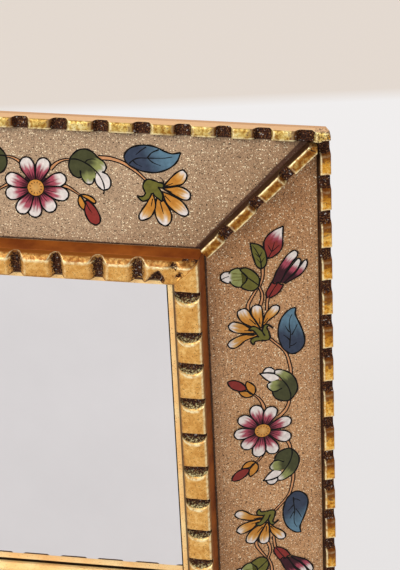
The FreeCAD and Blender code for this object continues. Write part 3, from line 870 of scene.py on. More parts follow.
# Veins of a daisy petal: (place aside, share of the length that it reaches)
PETAL_VEINS = [(-0.7, 0.5), (0.1, 0.62), (0.8, 0.52)]
VEIN_ROOT = 0.3
VEIN_FAN = 1.6
HALO_RADIUS = 6.4
HEART_RADIUS = 3.7
HEART_STEPS = 24
HEART_DASHES = 12
DASH_RADII = (2.1, 2.9)


def paint_daisy(painting, centre, tips):
    """Rose and white petals round an ochre heart ringed with short dashes."""
    centre = Vector(centre)
    turns = [2 * math.pi * i / HEART_STEPS for i in range(HEART_STEPS + 1)]

    def rim(radius, turn):
        return centre + Vector((math.cos(turn), math.sin(turn))) * radius

    def disc(radius, inner, outer):
        painting.add_grid([[(*centre, inner), (*rim(radius, turn), outer)] for turn in turns])

    disc(HALO_RADIUS, DARK_MAROON, DARK_MAROON)
    for tip in tips:
        axis = Vector(tip) - centre
        aside = axis.orthogonal().normalized()
        left = [centre + axis * share + aside * half for share, half in PETAL_EDGE]
        right = [centre + axis * share - aside * half for share, half in PETAL_EDGE]
        painting.shape(left, right, PETAL_STOPS, streak=0.12)
        for aim, reach in PETAL_VEINS:
            root = centre + axis * VEIN_ROOT + aside * aim
            end = centre + axis * reach + aside * aim * VEIN_FAN
            painting.stroke([root, end], 0.5, 0.15, DARK_MAROON)
    disc(HEART_RADIUS, PALE_OCHRE, OCHRE)
    painting.stroke([rim(HEART_RADIUS, turn) for turn in turns], 0.4, 0.4)
    for i in range(HEART_DASHES):
        turn = 2 * math.pi * (i + 0.5) / HEART_DASHES
        painting.stroke([rim(radius, turn) for radius in DASH_RADII], 0.34, 0.2)


def paint_across(painting):
    """One half of the spray on an upper or lower panel."""
    painting.stem([(5.4, 31.6), (8.2, 34.3), (11, 35.7), (14, 36.2)], 1.6, 0.4)
    painting.stem([(26, 37.5), (31, 37.4), (35.5, 36.3), (39, 34.6), (43, 32), (46.6, 28.9)], 1.7, 0.9)
    painting.stem([(9.6, 25), (13.2, 23.9), (15.8, 22.4), (18.2, 20.9)], 1.6, 0.3)

    # Red bud
    painting.shape(
        [(20.6, 18.6), (20.2, 15.6), (20.7, 12.4), (22.6, 9.2), (25.2, 7.9)],
        [(20.6, 18.6), (22.4, 18.2), (25, 15.6), (26.9, 12), (26.9, 9.3), (25.2, 7.9)], plain(BRICK))
    painting.stroke([(20.8, 17.6), (22.2, 15), (23.6, 13.2)], 0.6, 0.2)
    painting.shapes([
        ([(18, 20.9), (17.4, 18.4), (18.1, 16), (20, 14.2)],
         [(18, 20.9), (19.3, 19.4), (20.5, 17), (20, 14.2)]),
        ([(18, 20.9), (20.6, 19.6), (23, 18.2), (24.6, 17.5), (25.3, 18.4)],
         [(18, 20.9), (20.8, 21.1), (23.6, 20.1), (25.3, 18.4)]),
    ], plain(OCHRE))

    # Green bud opening into white petals
    painting.shape(
        [(25.2, 31), (24.6, 28.4), (25.5, 25.8), (27, 24.2), (28.5, 23.4)],
        [(27.6, 31.6), (30.2, 30.2), (31.6, 27.3), (30.9, 24.5), (28.5, 23.4)], plain(WHITE))
    painting.shape(
        [(13.8, 36), (13.4, 33), (14.8, 30), (17.2, 28.5), (19, 28.6), (21.6, 30.6), (24, 33)],
        [(13.8, 36), (14.8, 38), (17.4, 40.3), (20.6, 41), (23.6, 39.9), (26, 37.7), (28, 35.4)],
        plain(DARK_GREEN), line=False)
    painting.shapes([
        ([(18.4, 33), (18.7, 29.4), (19.7, 27.3), (21, 26), (22.2, 25.7)],
         [(24, 33.6), (25, 30.6), (24.6, 28), (23.8, 26.4), (22.2, 25.7)]),
        ([(20.6, 34.8), (23.6, 33), (26.2, 31.2), (28.8, 31.6)],
         [(21.2, 36.6), (25, 37.4), (28.4, 35.9), (29.6, 33.7), (28.8, 31.6)]),
    ], LOBE_STOPS, line=False, streak=0.08)
    painting.strokes([
        [(18.8, 28.6), (17.2, 28.4), (14.8, 29.9), (13.4, 33), (13.8, 36), (14.8, 38), (17.4, 40.3),
         (20.6, 41), (23.6, 39.9), (26, 37.6), (28.4, 35.9), (29.6, 33.7), (28.9, 31.8), (27.8, 31.3)],
        [(18.4, 31.6), (18.7, 29.4), (19.7, 27.3), (21, 26), (22.4, 25.7), (23.8, 26.4), (24.6, 28.6)],
    ])
    painting.stroke(
        [(14, 36.3), (16.6, 36.4), (19.5, 35.5), (22.5, 33.9), (25, 31.8), (27, 29.4), (28.4, 26.4),
         (28.8, 24), (28.4, 21.7)], 0.6, 0.6)
    painting.stroke([(20.4, 35.1), (21.4, 36.2), (23.2, 36.8), (25, 36.8)], 0.55, 0.25)

    # Blue leaf
    painting.shape(
        [(38, 36.1), (40, 34.6), (43.4, 33.1), (47, 32.4), (50.5, 32.3), (54, 33.2), (57.5, 35.1),
         (60, 37.8), (61.4, 41.5)],
        [(38, 36.1), (37.2, 38.6), (38.3, 41), (40.6, 42.8), (44, 43.8), (48, 43.9), (51.5, 43),
         (54.5, 41.7), (57.6, 40.8), (61.4, 41.5)], LEAF_STOPS)
    painting.stroke(
        [(39.4, 35.6), (41, 37.2), (43.2, 38.2), (46.5, 38.4), (50, 38.5), (54, 38.7), (57.8, 39.4)],
        0.6, 0.3)
    painting.stroke([(42.2, 39.6), (44.2, 41.4), (46.6, 43.2)], 0.3, 0.6)
    painting.stroke([(47.2, 38.6), (49, 40.8), (52, 42.3)], 0.55, 0.6)
    painting.stroke([(41, 37), (42.6, 35.6), (45, 34.6)], 0.55, 0.2)
    painting.stroke([(47.5, 38.3), (49.6, 36.6), (53, 35.4)], 0.55, 0.25)

    # Yellow flower in its olive calyx
    painting.shapes([
        ([(54, 26.4), (56.6, 26.6), (59.6, 27.2), (62, 27.8), (63.7, 29.8), (64.1, 32.2), (62.6, 34.2)],
         [(54, 26.4), (56, 28.9), (58.5, 31.7), (60.8, 33.5), (62.6, 34.2)]),
        ([(53.8, 25.6), (57, 24), (60, 22.4), (62.5, 21.2), (65, 21.4), (65.9, 23)],
         [(53.8, 25.6), (57, 26.3), (60, 26.8), (63, 26.2), (65.3, 24.6), (65.9, 23)]),
        ([(53.6, 24.2), (55.2, 20), (57.6, 17), (60.5, 15), (63, 14.1), (64.6, 14.5)],
         [(53.6, 24.2), (57.5, 23), (61, 21.2), (63.6, 18.9), (65, 16), (64.6, 14.5)]),
        ([(51.6, 22.4), (50.8, 18.6), (50.6, 15.5), (51.2, 13), (52.6, 10.6), (54.8, 9.3)],
         [(52.4, 22.4), (55, 19.6), (56.8, 16.8), (57.8, 14), (57.5, 11.6), (56.2, 9.8), (54.8, 9.3)]),
        ([(49, 22.6), (47, 18.8), (44.9, 15.6), (43.8, 13.2), (44.2, 11.6), (45.4, 11.2)],
         [(49.8, 22.6), (50.8, 19.6), (50.8, 17.2), (50, 14.8), (48.4, 12.6), (45.4, 11.2)]),
    ], YELLOW_STOPS, streak=0.1)
    painting.strokes([
        [(55, 26.8), (58.2, 28.1)], [(55, 25.2), (58, 24.2)], [(54.8, 22.6), (57.3, 20)],
        [(52.8, 19.8), (54.3, 14.6)], [(49.6, 21), (49, 17.6)],
    ], 0.6, 0.25)
    painting.shapes([
        ([(49, 24.6), (50.4, 22.4), (52.2, 21), (53.6, 19.8)],
         [(51, 27), (52.8, 24.9), (53.9, 22.8), (53.6, 19.8)]),
        ([(46.2, 25), (46.4, 23), (45.4, 21.8), (44.2, 21.7), (42.8, 21.9)],
         [(49.4, 24), (48.2, 21), (46.6, 19.9), (44.8, 19.9), (42.8, 21.9)]),
    ], plain(OLIVE))
    painting.shape(
        [(46.6, 29), (45.3, 27.2), (45.8, 24.8), (47.2, 23.4), (50.2, 23.8), (51.6, 25.8), (54, 25.9)],
        [(46.6, 29), (48.2, 29.3), (50.2, 28.9), (52, 28.2), (53.6, 28), (54.3, 27.2), (54, 25.9)],
        plain(OLIVE), line=False)
    painting.stroke(
        [(46.2, 23.8), (45.4, 26), (46, 28.2), (47.6, 29.3), (50.2, 28.9), (52, 28.2), (53.4, 28),
         (54.3, 27), (53.8, 25.9), (51.8, 26)])
    painting.stroke([(54.2, 27.6), (53.9, 29.2), (52.6, 30.4)], 0.6, 0.3)


def paint_upright(painting):
    """One half of the taller spray on a side panel."""
    painting.stem([(4.8, 30), (8, 33), (11, 34.5), (14.3, 35.2)], 1.6, 1.1)
    painting.stem(
        [(27.6, 36.1), (31, 36), (34, 35.5), (37, 34.9), (40, 33.9), (43, 32), (46, 29.4), (48.8, 27)],
        1.3, 0.9)
    painting.stem([(8.6, 23.8), (12, 23.4), (14.5, 22.6), (17, 21.2), (19, 19.4)], 1.8, 0.5)
    painting.stem([(64, 17.9), (68, 18.2), (71, 19.6), (73.5, 21), (76.8, 23.1)], 1.5, 0.8)
    painting.stem([(66.6, 23.4), (70, 24.3), (73, 24.3), (76.8, 23.1)], 1.4, 0.8)
    painting.stem([(63.6, 26.2), (67, 26.4), (70.6, 26.8)], 1.0, 1.2)
    painting.stem([(76.8, 23.4), (80, 24.5), (83, 24.9), (86.4, 24.9)], 0.9, 1.3)

    # Red bud
    painting.shape(
        [(22.4, 16.2), (21.9, 14.4), (22.2, 12.3), (23.6, 9.9), (25.8, 8.3), (27.8, 7.7)],
        [(22.4, 16.2), (24.2, 15.6), (26.4, 14), (28, 11.4), (28.3, 9.2), (27.8, 7.7)], plain(BRICK))
    painting.shapes([
        ([(19, 19.2), (18.1, 17.6), (18.2, 15.4), (19.6, 13.6), (21.8, 12.5)],
         [(19, 19.2), (19.8, 17.8), (21.4, 16.2), (21.8, 12.5)]),
        ([(19, 19.2), (20.2, 18), (22.4, 16.3), (25, 15.7), (27, 16.3)],
         [(19, 19.2), (21, 20.1), (23.6, 19.8), (25.6, 18.2), (27, 16.3)]),
    ], plain(OCHRE))

    # Green bud opening into white petals
    painting.shapes([
        ([(29.4, 29.2), (30.1, 26.6), (30.4, 23.4)],
         [(31.2, 28.8), (32.6, 27.5), (33, 25.8), (32.2, 24.4), (30.4, 23.4)]),
        ([(25.6, 30.6), (24.9, 27.2), (27, 24.5), (29.2, 22.9), (30.3, 22.2)],
         [(28.6, 30.4), (29.8, 27), (30.2, 24.4), (30.3, 22.2)]),
    ], plain(WHITE))
    painting.shape(
        [(13.6, 35), (13.6, 32.6), (15, 29.6), (17.4, 28), (19.4, 27.6), (20.8, 30), (23.6, 32.4)],
        [(13.6, 35), (16, 37.4), (19.4, 38.9), (23, 38.6), (25.6, 37.7), (28, 36.3), (27.4, 33)],
        plain(DARK_GREEN), line=False)
    painting.shapes([
        ([(20, 33.4), (19.3, 29), (20.6, 26.6), (22, 25.6), (23.2, 25.4)],
         [(25, 33), (25.4, 29.6), (25, 27.2), (24.3, 25.9), (23.2, 25.4)]),
        ([(22.6, 34.4), (26.6, 31.4), (28.8, 29.5), (30.9, 28.9)],
         [(23.6, 36.8), (27.4, 36.2), (30, 33.6), (31.2, 31), (30.9, 28.9)]),
    ], LOBE_STOPS, line=False, streak=0.08)
    painting.strokes([
        [(19.4, 27.6), (17.4, 28), (15, 29.6), (13.6, 32.6), (13.6, 35), (16, 37.4), (19.4, 38.9),
         (23, 38.6), (25.6, 37.7), (28, 36.2), (30, 33.6), (31.2, 31), (30.9, 29), (29.8, 28.9)],
        [(20.8, 32), (19.6, 29.6), (19.6, 27.8), (20.6, 26.6), (22, 25.6), (23.4, 25.4), (24.4, 26),
         (25, 27.2)],
    ])
    painting.stroke(
        [(13.6, 35.3), (16, 35.8), (19, 35.3), (22, 34.2), (25, 32.4), (27.5, 30.6), (29, 28.8),
         (29.8, 26.5), (30.2, 24), (30.2, 22)], 0.6, 0.6)

    # Blue leaf
    painting.shape(
        [(40.2, 34.6), (42.4, 32.8), (45.4, 31.7), (48.6, 31), (52, 30.9), (55.4, 31.4), (58.6, 32.5),
         (61.2, 34.4), (63, 36.7), (63.3, 39)],
        [(40.2, 34.6), (39, 36.2), (38.9, 38), (40, 40.2), (42.4, 42), (45.4, 42.6), (49, 42.1), (53, 41),
         (56.8, 39.6), (60, 38.6), (63.3, 39)], LEAF_STOPS)
    painting.stroke([(42, 35.8), (46, 36), (50, 36.3), (54, 35.9), (57.4, 36.1), (60, 37.2)], 0.6, 0.3)
    painting.strokes([
        [(43.2, 36.2), (43.6, 37.6), (44.8, 39)], [(49, 36.8), (51.6, 38.2), (54.4, 39.4)],
    ], 0.55, 0.3)
    painting.strokes([
        [(46.6, 35.8), (48.4, 34.4), (49.6, 33.2)], [(50.6, 35.9), (52.4, 34.9), (54.4, 34)],
    ], 0.55, 0.25)

    # Yellow flower in its olive calyx
    painting.shapes([
        ([(50.8, 22), (49.2, 16.6), (46.8, 13.6), (45.8, 11.4), (46.4, 9.4), (48.2, 8.4)],
         [(51.6, 22), (52.3, 16), (51.4, 12.5), (50, 9.8), (48.2, 8.4)]),
        ([(52.4, 22), (53, 15.8), (54, 12.2), (55.8, 9.8), (58, 9)],
         [(53.6, 22), (55.6, 18.4), (57.4, 16.4), (59, 13.8), (59.7, 11), (58, 9)]),
        ([(54.6, 22.4), (56.6, 18.4), (59, 15.4), (62, 13.6), (64.8, 13.4), (66.1, 15.2)],
         [(55, 23), (58.4, 21.2), (61.6, 19.6), (64.2, 18.4), (66, 17), (66.1, 15.2)]),
        ([(54.6, 23.2), (58, 21.7), (61, 20), (64, 19.3), (66.4, 19.8), (67.4, 21.6)],
         [(54.6, 23.6), (58, 24.3), (61, 24.3), (64, 24.2), (66.4, 23.6), (67.4, 21.6)]),
        ([(54.8, 24.2), (58.6, 24.5), (61.6, 25.4), (64, 27), (65.6, 28.6), (66, 30.4)],
         [(55, 24.8), (57.4, 26), (59, 27.7), (60.4, 29.6), (62.4, 31.3), (64.8, 31.7), (66, 30.4)]),
    ], YELLOW_STOPS, streak=0.1)
    painting.strokes([
        [(51.4, 20.4), (51.6, 17.2)], [(53.8, 19.4), (54.6, 16)], [(57, 21.2), (60.4, 18.4)],
        [(57, 23), (60.4, 22.7)], [(57.2, 24.8), (59.8, 26.6)],
    ], 0.6, 0.25)
    painting.shape(
        [(48, 24.4), (48.2, 22), (47.9, 20.6), (46.2, 20)],
        [(50.4, 23), (50.3, 20.4), (49.4, 18.9), (47.8, 18.8), (46.2, 20)], plain(OLIVE))
    painting.shape(
        [(48.2, 26.8), (47.9, 24.6), (48.6, 22.6), (50.4, 22), (53, 20.6), (54.6, 19.4)],
        [(48.2, 26.8), (50, 27.3), (52.4, 26.7), (53.2, 25.2), (53, 24), (55.4, 21.6)],
        plain(OLIVE), line=False)
    painting.shapes([
        ([(50, 22.3), (52.5, 21), (54.2, 19.6), (54.7, 17.8)],
         [(52, 24.4), (53.6, 23.4), (55.4, 21.6), (56.2, 19.6), (54.7, 17.8)]),
        ([(50.4, 25), (53, 24), (56, 24.8), (56.2, 26.6), (54, 28.7)],
         [(50, 27.2), (52.4, 26.7), (54.6, 26), (55.4, 26.9), (54, 28.7)]),
    ], plain(OLIVE))
    painting.stroke([(48.4, 23.4), (47.9, 25), (48.2, 26.8), (50, 27.3), (52.4, 26.7)])

    # Olive leaf and red bud above it
    painting.shape(
        [(90.6, 27.2), (93, 26.4), (96.4, 25.8), (99.2, 25.8), (102, 27.2), (104.4, 30), (106.2, 34.3)],
        [(90.6, 27.2), (91.2, 29.4), (93, 32), (95.6, 33.6), (98.5, 33.9), (102, 34), (106.2, 34.3)],
        BUD_STOPS, streak=0.12)
    painting.stroke([(90.8, 27.4), (94, 29), (98.6, 30.4)], 0.6, 0.25)
    painting.strokes([
        [(94, 28.9), (97.6, 27.4)], [(94, 29.2), (96.8, 32.4)],
    ], 0.5, 0.2)
    painting.shape(
        [(85.6, 24.2), (87.4, 22.4), (90.6, 21.4), (94, 20.6), (97, 20.2), (99.7, 19.8)],
        [(85.6, 24.2), (87, 26), (89.6, 26.8), (92.6, 26.6), (95.6, 25.8), (98.2, 23.6), (99.7, 19.8)],
        plain(OLIVE))
    painting.stroke([(86, 24.4), (91, 24), (95, 22.6), (98.4, 20.8)], 0.6, 0.3)
    painting.strokes([
        [(88.6, 24.3), (91.4, 22.4)], [(91.6, 23.9), (94.2, 21.8)], [(89, 24.4), (91.6, 25.9)],
        [(92.2, 23.8), (94.6, 25)],
    ], 0.45, 0.2)

    # Green and white bud
    painting.shape(
        [(80.6, 11.6), (80.5, 9.4), (82, 7.2), (83.4, 6.6)],
        [(86.2, 11.2), (86.4, 8.4), (85.2, 6.8), (83.4, 6.6)], plain(WHITE))
    painting.stroke([(82.4, 6.2), (83.4, 8.2), (84.2, 10.8)], 0.5, 0.4)
    painting.shape(
        [(77.6, 16.6), (78, 13.4), (79.6, 11.4), (81.4, 10.4)],
        [(87, 16.4), (87.6, 13.4), (86.8, 11.2), (85.2, 10.2)], TUFT_STOPS, streak=0.08)
    painting.strokes([
        [(85.2, 11.8), (84.2, 16.4)], [(83.4, 11.6), (82.8, 16.6)], [(81.6, 12), (81.4, 16.2)],
    ], 0.45, 0.3, OLIVE)
    painting.shape(
        [(77.2, 23.2), (75.4, 21.4), (75.3, 18.8), (77.6, 15.4), (80.2, 17.4), (82.3, 18.2)],
        [(77.2, 23.2), (81.4, 23.2), (85, 20.9), (87.3, 17.6), (86.8, 15.2), (84.4, 16.8), (82.3, 18.2)],
        plain(OLIVE))
    painting.stroke([(77.4, 23), (79.6, 20.9), (82.3, 18.2)], 0.6, 0.5)

    # Maroon cup flower in its red calyx
    painting.shapes([
        ([(77.4, 33.8), (79, 35.6), (81.4, 38.8), (84.6, 41), (87, 42.6), (87.8, 43.8)],
         [(76.6, 34.2), (79.2, 39.4), (81.2, 42), (84.2, 43.9), (86.4, 44.3), (87.8, 43.8)]),
        ([(77.6, 32), (80.6, 33.8), (83.4, 35.8), (86.4, 38.2), (88.4, 39.7), (88.9, 40.9)],
         [(77, 33.8), (79, 35.8), (81.6, 38.4), (84.6, 40.6), (87.2, 41.5), (88.9, 40.9)]),
        ([(78.2, 28.8), (81, 29.9), (84, 31.1), (87.6, 33.2), (91, 35.5), (92.8, 37.6), (93.3, 39)],
         [(77.4, 32.4), (81, 34.2), (84.4, 35.8), (87.4, 37.8), (90, 39.8), (92, 40.2), (93.3, 39)]),
    ], CUP_STOPS)
    painting.shape(
        [(70.2, 26.6), (72.5, 26), (75.2, 27), (78.4, 28.8)],
        [(70.2, 27.4), (71, 29.6), (73, 32), (76.2, 33.8)], plain(BRICK))
    painting.stroke([(78.4, 28.8), (77.2, 30), (77.8, 31.4), (76.6, 32.4), (76.2, 33.8)])
    painting.stroke([(70.6, 27.1), (74, 29), (77.6, 31.3)], 0.6, 0.4)


# The middle of each daisy and the tips of its petals
ACROSS_DAISY = ((-0.9, 23.1), [
    (3.4, 36.2), (12.2, 28.4), (13.4, 20.2), (7, 13.2), (-1.5, 10),
    (-8.3, 11.6), (-14, 19.4), (-14, 27.2), (-6, 36.2),
])
UPRIGHT_DAISY = ((-1.2, 22.6), [
    (13.3, 19.3), (11.4, 27.7), (3.2, 35.6), (-7.5, 35.2), (-15, 28),
    (-15.8, 20), (-10, 13.4), (-1.8, 9.6), (7.8, 12.2),
])
# The way along each side in which its spray runs
SPRAY_WAYS = {"top": 1, "right": -1, "bottom": -1, "left": 1}


def paint_panel(side, seed):
    """Both halves of a side's spray, then the daisy between them."""
    painting = Painting(seed)
    level = side in LEVEL_SIDES
    for way in (1, -1):
        painting.lift = FIRST_LIFT
        painting.way = way
        if level:
            paint_across(painting)
        else:
            paint_upright(painting)
    painting.way = 1
    paint_daisy(painting, *(ACROSS_DAISY if level else UPRIGHT_DAISY))
    return painting


def build_painting(side, material, seed):
    """The spray of flowers on one panel, as thin coloured shapes lying on the glass."""
    painting = paint_panel(side, seed)
    bm = bmesh.new()
    paint = bm.verts.layers.float_color.new("paint")
    verts = []
    for (u, v, lift), colour in zip(painting.points, painting.colours):
        outward = PANEL_INNER + v * SLOPE_COS + lift * SLOPE_SIN
        vert = bm.verts.new((u * SPRAY_WAYS[side], SEAT_Y + v * SLOPE_SIN - lift * SLOPE_COS, outward))
        vert[paint] = (*colour, 1)
        verts.append(vert)
    front = Vector((0, -SLOPE_COS, SLOPE_SIN))
    for face in painting.faces:
        made = bm.faces.new([verts[i] for i in face])
        made.normal_update()
        if made.normal.dot(front) < 0:
            made.normal_flip()
    bmesh.ops.dissolve_degenerate(bm, edges=bm.edges, dist=SAME_POINT)
    bm.transform(side_matrix(side))
    add_piece(f"painted_spray_{side}", bm, material)


# Materials

NOISE_ROUGHNESS = 0.55


def feed(socket, value):
    """Link a node's input to a value, or set it to a number, a list or a (red, green, blue) colour."""
    if isinstance(value, Value):
        socket.id_data.links.new(value.socket, socket)
    elif socket.type == "RGBA":
        socket.default_value = (*value, 1)
    else:
        socket.default_value = value


def add_node(tree, kind, inputs=None, output=0, **settings):
    """Make a node and give the value of one of its outputs."""
    made = tree.nodes.new(kind)
    for key, value in settings.items():
        setattr(made, key, value)
    for key, value in (inputs or {}).items():
        feed(made.inputs[key], value)
    return Value(made.outputs[output])


class Value:
    """What a shader node puts out. Sums and methods place the next node after it."""

    def __init__(self, socket):
        self.socket = socket

    def __add__(self, other):
        return self.math("ADD", other)

    def __sub__(self, other):
        return self.math("SUBTRACT", other)

    def __mul__(self, other):
        return self.math("MULTIPLY", other)

    def after(self, kind, inputs, output=0, **settings):
        return add_node(self.socket.id_data, kind, inputs, output, **settings)

    def output(self, name):
        """Another output of the same node."""
        return Value(self.socket.node.outputs[name])

    def math(self, operation, other=0.0, clamp=False):
        return self.after("ShaderNodeMath", {0: self, 1: other}, operation=operation, use_clamp=clamp)

    def larger(self, other):
        return self.math("MAXIMUM", other)

    def rest(self):
        """What is left up to 1."""
        return self.after("ShaderNodeMath", {0: 1.0, 1: self}, operation="SUBTRACT")

    def span(self, low, high, start=0.0, end=1.0):
        """Where the value lies from low to high, as a share from start to end."""
        inputs = {"Value": self, "From Min": low, "From Max": high, "To Min": start, "To Max": end}
        return self.after("ShaderNodeMapRange", inputs)

    def span_mm(self, low, high, start=0.0, end=1.0):
        return self.span(low * MM, high * MM, start, end)

    def ramp(self, *stops):
        """A colour ramp over (place, colour or grey) stops."""
        made = self.after("ShaderNodeValToRGB", {"Fac": self})
        elements = made.socket.node.color_ramp.elements
        while len(elements) < len(stops):
            elements.new(0.5)
        for element, (place, colour) in zip(elements, stops):
            element.position = place
            grey = isinstance(colour, (int, float))
            element.color = (colour, colour, colour, 1) if grey else (*colour, 1)
        return made

    def mix(self, share, other, blend_type="MIX"):
        """This colour mixed with a share of another one."""
        inputs = {0: share, 6: self, 7: other}
        return self.after("ShaderNodeMix", inputs, 2, data_type="RGBA", blend_type=blend_type)

    def bump(self, strength, distance):
        """A normal with the value as its relief."""
        inputs = {"Height": self, "Strength": strength, "Distance": distance}
        return self.after("ShaderNodeBump", inputs)


class Look:
    """A material in the making."""

    def __init__(self, name):
        self.material = bpy.data.materials.new(name)
        self.material.use_nodes = True
        self.tree = self.material.node_tree
        self.shader = self.tree.nodes["Principled BSDF"]

    def place(self, stretch=(1, 1, 1)):
        """Object coordinates, which are the frame's own metres, stretched along each axis."""
        coords = add_node(self.tree, "ShaderNodeTexCoord", output="Object")
        return coords.after("ShaderNodeMapping", {"Vector": coords, "Scale": stretch})

    def axes(self):
        return add_node(self.tree, "ShaderNodeSeparateXYZ", {"Vector": self.place()})

    def edges(self):
        """How far a place lies from the frame's outer edge, negative inwards, and from the mitre line."""
        axes = self.axes()
        across = axes.output("X").math("ABSOLUTE") - HALF_WIDTH * MM
        upright = axes.output("Z").math("ABSOLUTE") - HALF_HEIGHT * MM
        return across.larger(upright), (across - upright).math("ABSOLUTE")

    def noise(self, scale, detail=3.0, stretch=(1, 1, 1)):
        inputs = {
            "Vector": self.place(stretch), "Scale": scale, "Detail": detail, "Roughness": NOISE_ROUGHNESS,
        }
        return add_node(self.tree, "ShaderNodeTexNoise", inputs, "Fac")

    def attribute(self, name, output="Fac"):
        return add_node(self.tree, "ShaderNodeAttribute", output=output, attribute_name=name)

    def finish(self, **sockets):
        """Feed the shader's sockets, named with underscores for spaces, and give the material."""
        for name, value in sockets.items():
            feed(self.shader.inputs[name.replace("_", " ")], value)
        return self.material


# Gilding

RUBBED_HIGHLIGHT_GOLD = linear(252, 236, 186)
SHADE_GLAZE_BROWN = linear(112, 56, 14)
PATINA_BLACK = linear(20, 10, 6)
PATINA = linear(50, 24, 13)
PATINA_BROWN = linear(92, 48, 22)
PATINA_FLECK = linear(188, 152, 96)
WAX_GLINT = linear(196, 190, 184)
WORN_LIT_OLIVE = linear(62, 44, 18)
WORN_LIT_GOLD = linear(128, 104, 56)
WORN_LIT_PALE = linear(216, 204, 150)
WALL_BROWN = linear(42, 17, 10)
BARE_EDGE = linear(232, 184, 134)
TONED_BROWN = linear(138, 76, 22)
SHADED_BARE_EDGE = linear(104, 62, 26)
# Noise scales and strengths of the leaf and the wax
PATCH_SCALE = 110
MOTTLE_SCALE = 600
GRAIN_SCALE = 1900
CRUMB_SCALE = 1300
GLINT_SCALE = 800
PATCH_SHARE = 0.4
BLOT_STRENGTH = 1.3
CRUMB_STRENGTH = 1.4
WORN_LIT_CRUMBS = 0.7
WALL_WAX = 0.95
LEAF_METAL = 0.6
WAX_ROUGHNESS = (0.6, 0.6, 0.6)
GRAIN_RELIEF = 0.35


def gilt_material(name, brown, gold, pale, edge):
    """Metal leaf rubbed back on the blocks, with dark flecked wax lying in the notches."""
    look = Look(name)
    mottle = look.noise(MOTTLE_SCALE, detail=4)
    grain = look.noise(GRAIN_SCALE, detail=2)
    crumbs = look.noise(CRUMB_SCALE)

    # Leaf, browner under the glaze and painted shade at block ends, and in painted shade and browner middles
    # across the width
    tone = look.noise(PATCH_SCALE) * PATCH_SHARE + mottle * (1 - PATCH_SHARE)
    colour = tone.ramp((0.38, brown), (0.5, gold), (0.62, pale))
    shade_glaze = look.attribute("shade_glazed") + (mottle - 0.5) * BLOT_STRENGTH
    colour = colour.mix(shade_glaze.ramp((0.38, 0), (0.62, 0.92)), SHADE_GLAZE_BROWN)
    shade = look.attribute("shaded") * mottle.ramp((0.4, 1), (0.6, 0.6))
    colour = colour.mix(shade, SHADE_GLAZE_BROWN)
    colour = colour.mix(grain.ramp((0.6, 0), (0.68, 0.85)), PATINA_BROWN)

    # Bare outer wall, and rubbed edges with a painted highlight
    bare = look.attribute("bare")
    colour = colour.mix(bare, edge)
    patchy = mottle.ramp((0.38, 0.25), (0.55, 1))
    colour = colour.mix(look.attribute("rubbed_highlight").math("MULTIPLY", patchy, clamp=True), RUBBED_HIGHLIGHT_GOLD)

    # Wax in the notches, with painted glints, worn thin and painted lighter towards its far end
    uneven = (crumbs - 0.5) * CRUMB_STRENGTH
    dark = (look.attribute("carved") + uneven).ramp((0.42, 0), (0.54, 1))
    wax = grain.ramp((0.36, PATINA_BLACK), (0.5, PATINA), (0.62, PATINA_BROWN), (0.74, PATINA_FLECK))
    # Painted glints on the wax
    wax = wax.mix(look.noise(GLINT_SCALE).ramp((0.63, 0), (0.7, 0.75)), WAX_GLINT)
    # Painted light on a notch's far, upward-facing wall, where the wax is also worn thin
    thin_lit_share = look.attribute("worn_lit") + uneven * WORN_LIT_CRUMBS
    thin = crumbs.ramp((0.4, WORN_LIT_OLIVE), (0.5, WORN_LIT_GOLD), (0.6, WORN_LIT_PALE))
    wax = wax.mix(thin_lit_share.ramp((0.42, 0), (0.74, 0.85)), thin)
    walls = look.attribute("waxed") * WALL_WAX
    colour = colour.mix(dark, wax).mix(walls, WALL_BROWN)

    # Surface: the leaf shines, the wax and the bare wall are dull
    dull = dark.larger(walls).larger(bare)
    rough = tone.ramp((0.35, 0.5), (0.65, 0.34)).mix(dull, WAX_ROUGHNESS)
    relief = (mottle + grain * GRAIN_RELIEF).bump(strength=0.45, distance=0.0004)
    return look.finish(
        Base_Color=colour, Metallic=dull.rest() * LEAF_METAL, Roughness=rough, Normal=relief,
        Specular_IOR_Level=0.12)


FILLET_PATCHES = 70
FILLET_BROWNS = (linear(124, 58, 14), linear(166, 90, 28))
FILLET_GOLDS = (linear(248, 194, 122), linear(255, 220, 156))
# The dark line along the lip beside the bead: wax and painted shadow in the quirk
QUIRK_LINE = (BEAD_INNER - 1.4, BEAD_INNER - 1.15)
QUIRK_DARKNESS = 0.85


def fillet_material():
    """The fillet's toned leaf: brown on its outer bevel, gold on its lip."""
    look = Look("toned_leaf")
    patches = look.noise(FILLET_PATCHES)
    grain = look.noise(GRAIN_SCALE, detail=2)
    outward, _ = look.edges()
    brown = patches.ramp((0.35, FILLET_BROWNS[0]), (0.65, FILLET_BROWNS[1]))
    gold = patches.ramp((0.35, FILLET_GOLDS[0]), (0.65, FILLET_GOLDS[1]))
    gold = gold.mix(grain.ramp((0.62, 0), (0.7, 0.8)), PATINA_BROWN)
    gold = gold.mix(outward.span_mm(*QUIRK_LINE) * QUIRK_DARKNESS, WALL_BROWN)
    colour = gold.mix(look.attribute("toned").ramp((0.5, 0), (0.8, 1)), brown)
    return look.finish(
        Base_Color=colour, Metallic=0.35, Roughness=0.42, Normal=grain.bump(strength=0.2, distance=0.0003),
        Specular_IOR_Level=0.25)


# Painted glass and mirror

# A thin even gloss, as of clear glass lying over the paint
CLEAR_GLASS = {"Roughness": 0.5, "Specular_IOR_Level": 0.06, "Coat_Weight": 0.14, "Coat_Roughness": 0.06}
GROUND_PATCHES = 60
GROUND_GRAIN = 2200
GROUND_GRAIN_SHARE = 0.9
FLECK_SCALE = 1650
FLECK_RADII = (0.16, 0.48)
FLECK_EDGE = 0.1
FLECK_CREAM = linear(252, 236, 200)
FLECK_DARK = linear(26, 15, 9)
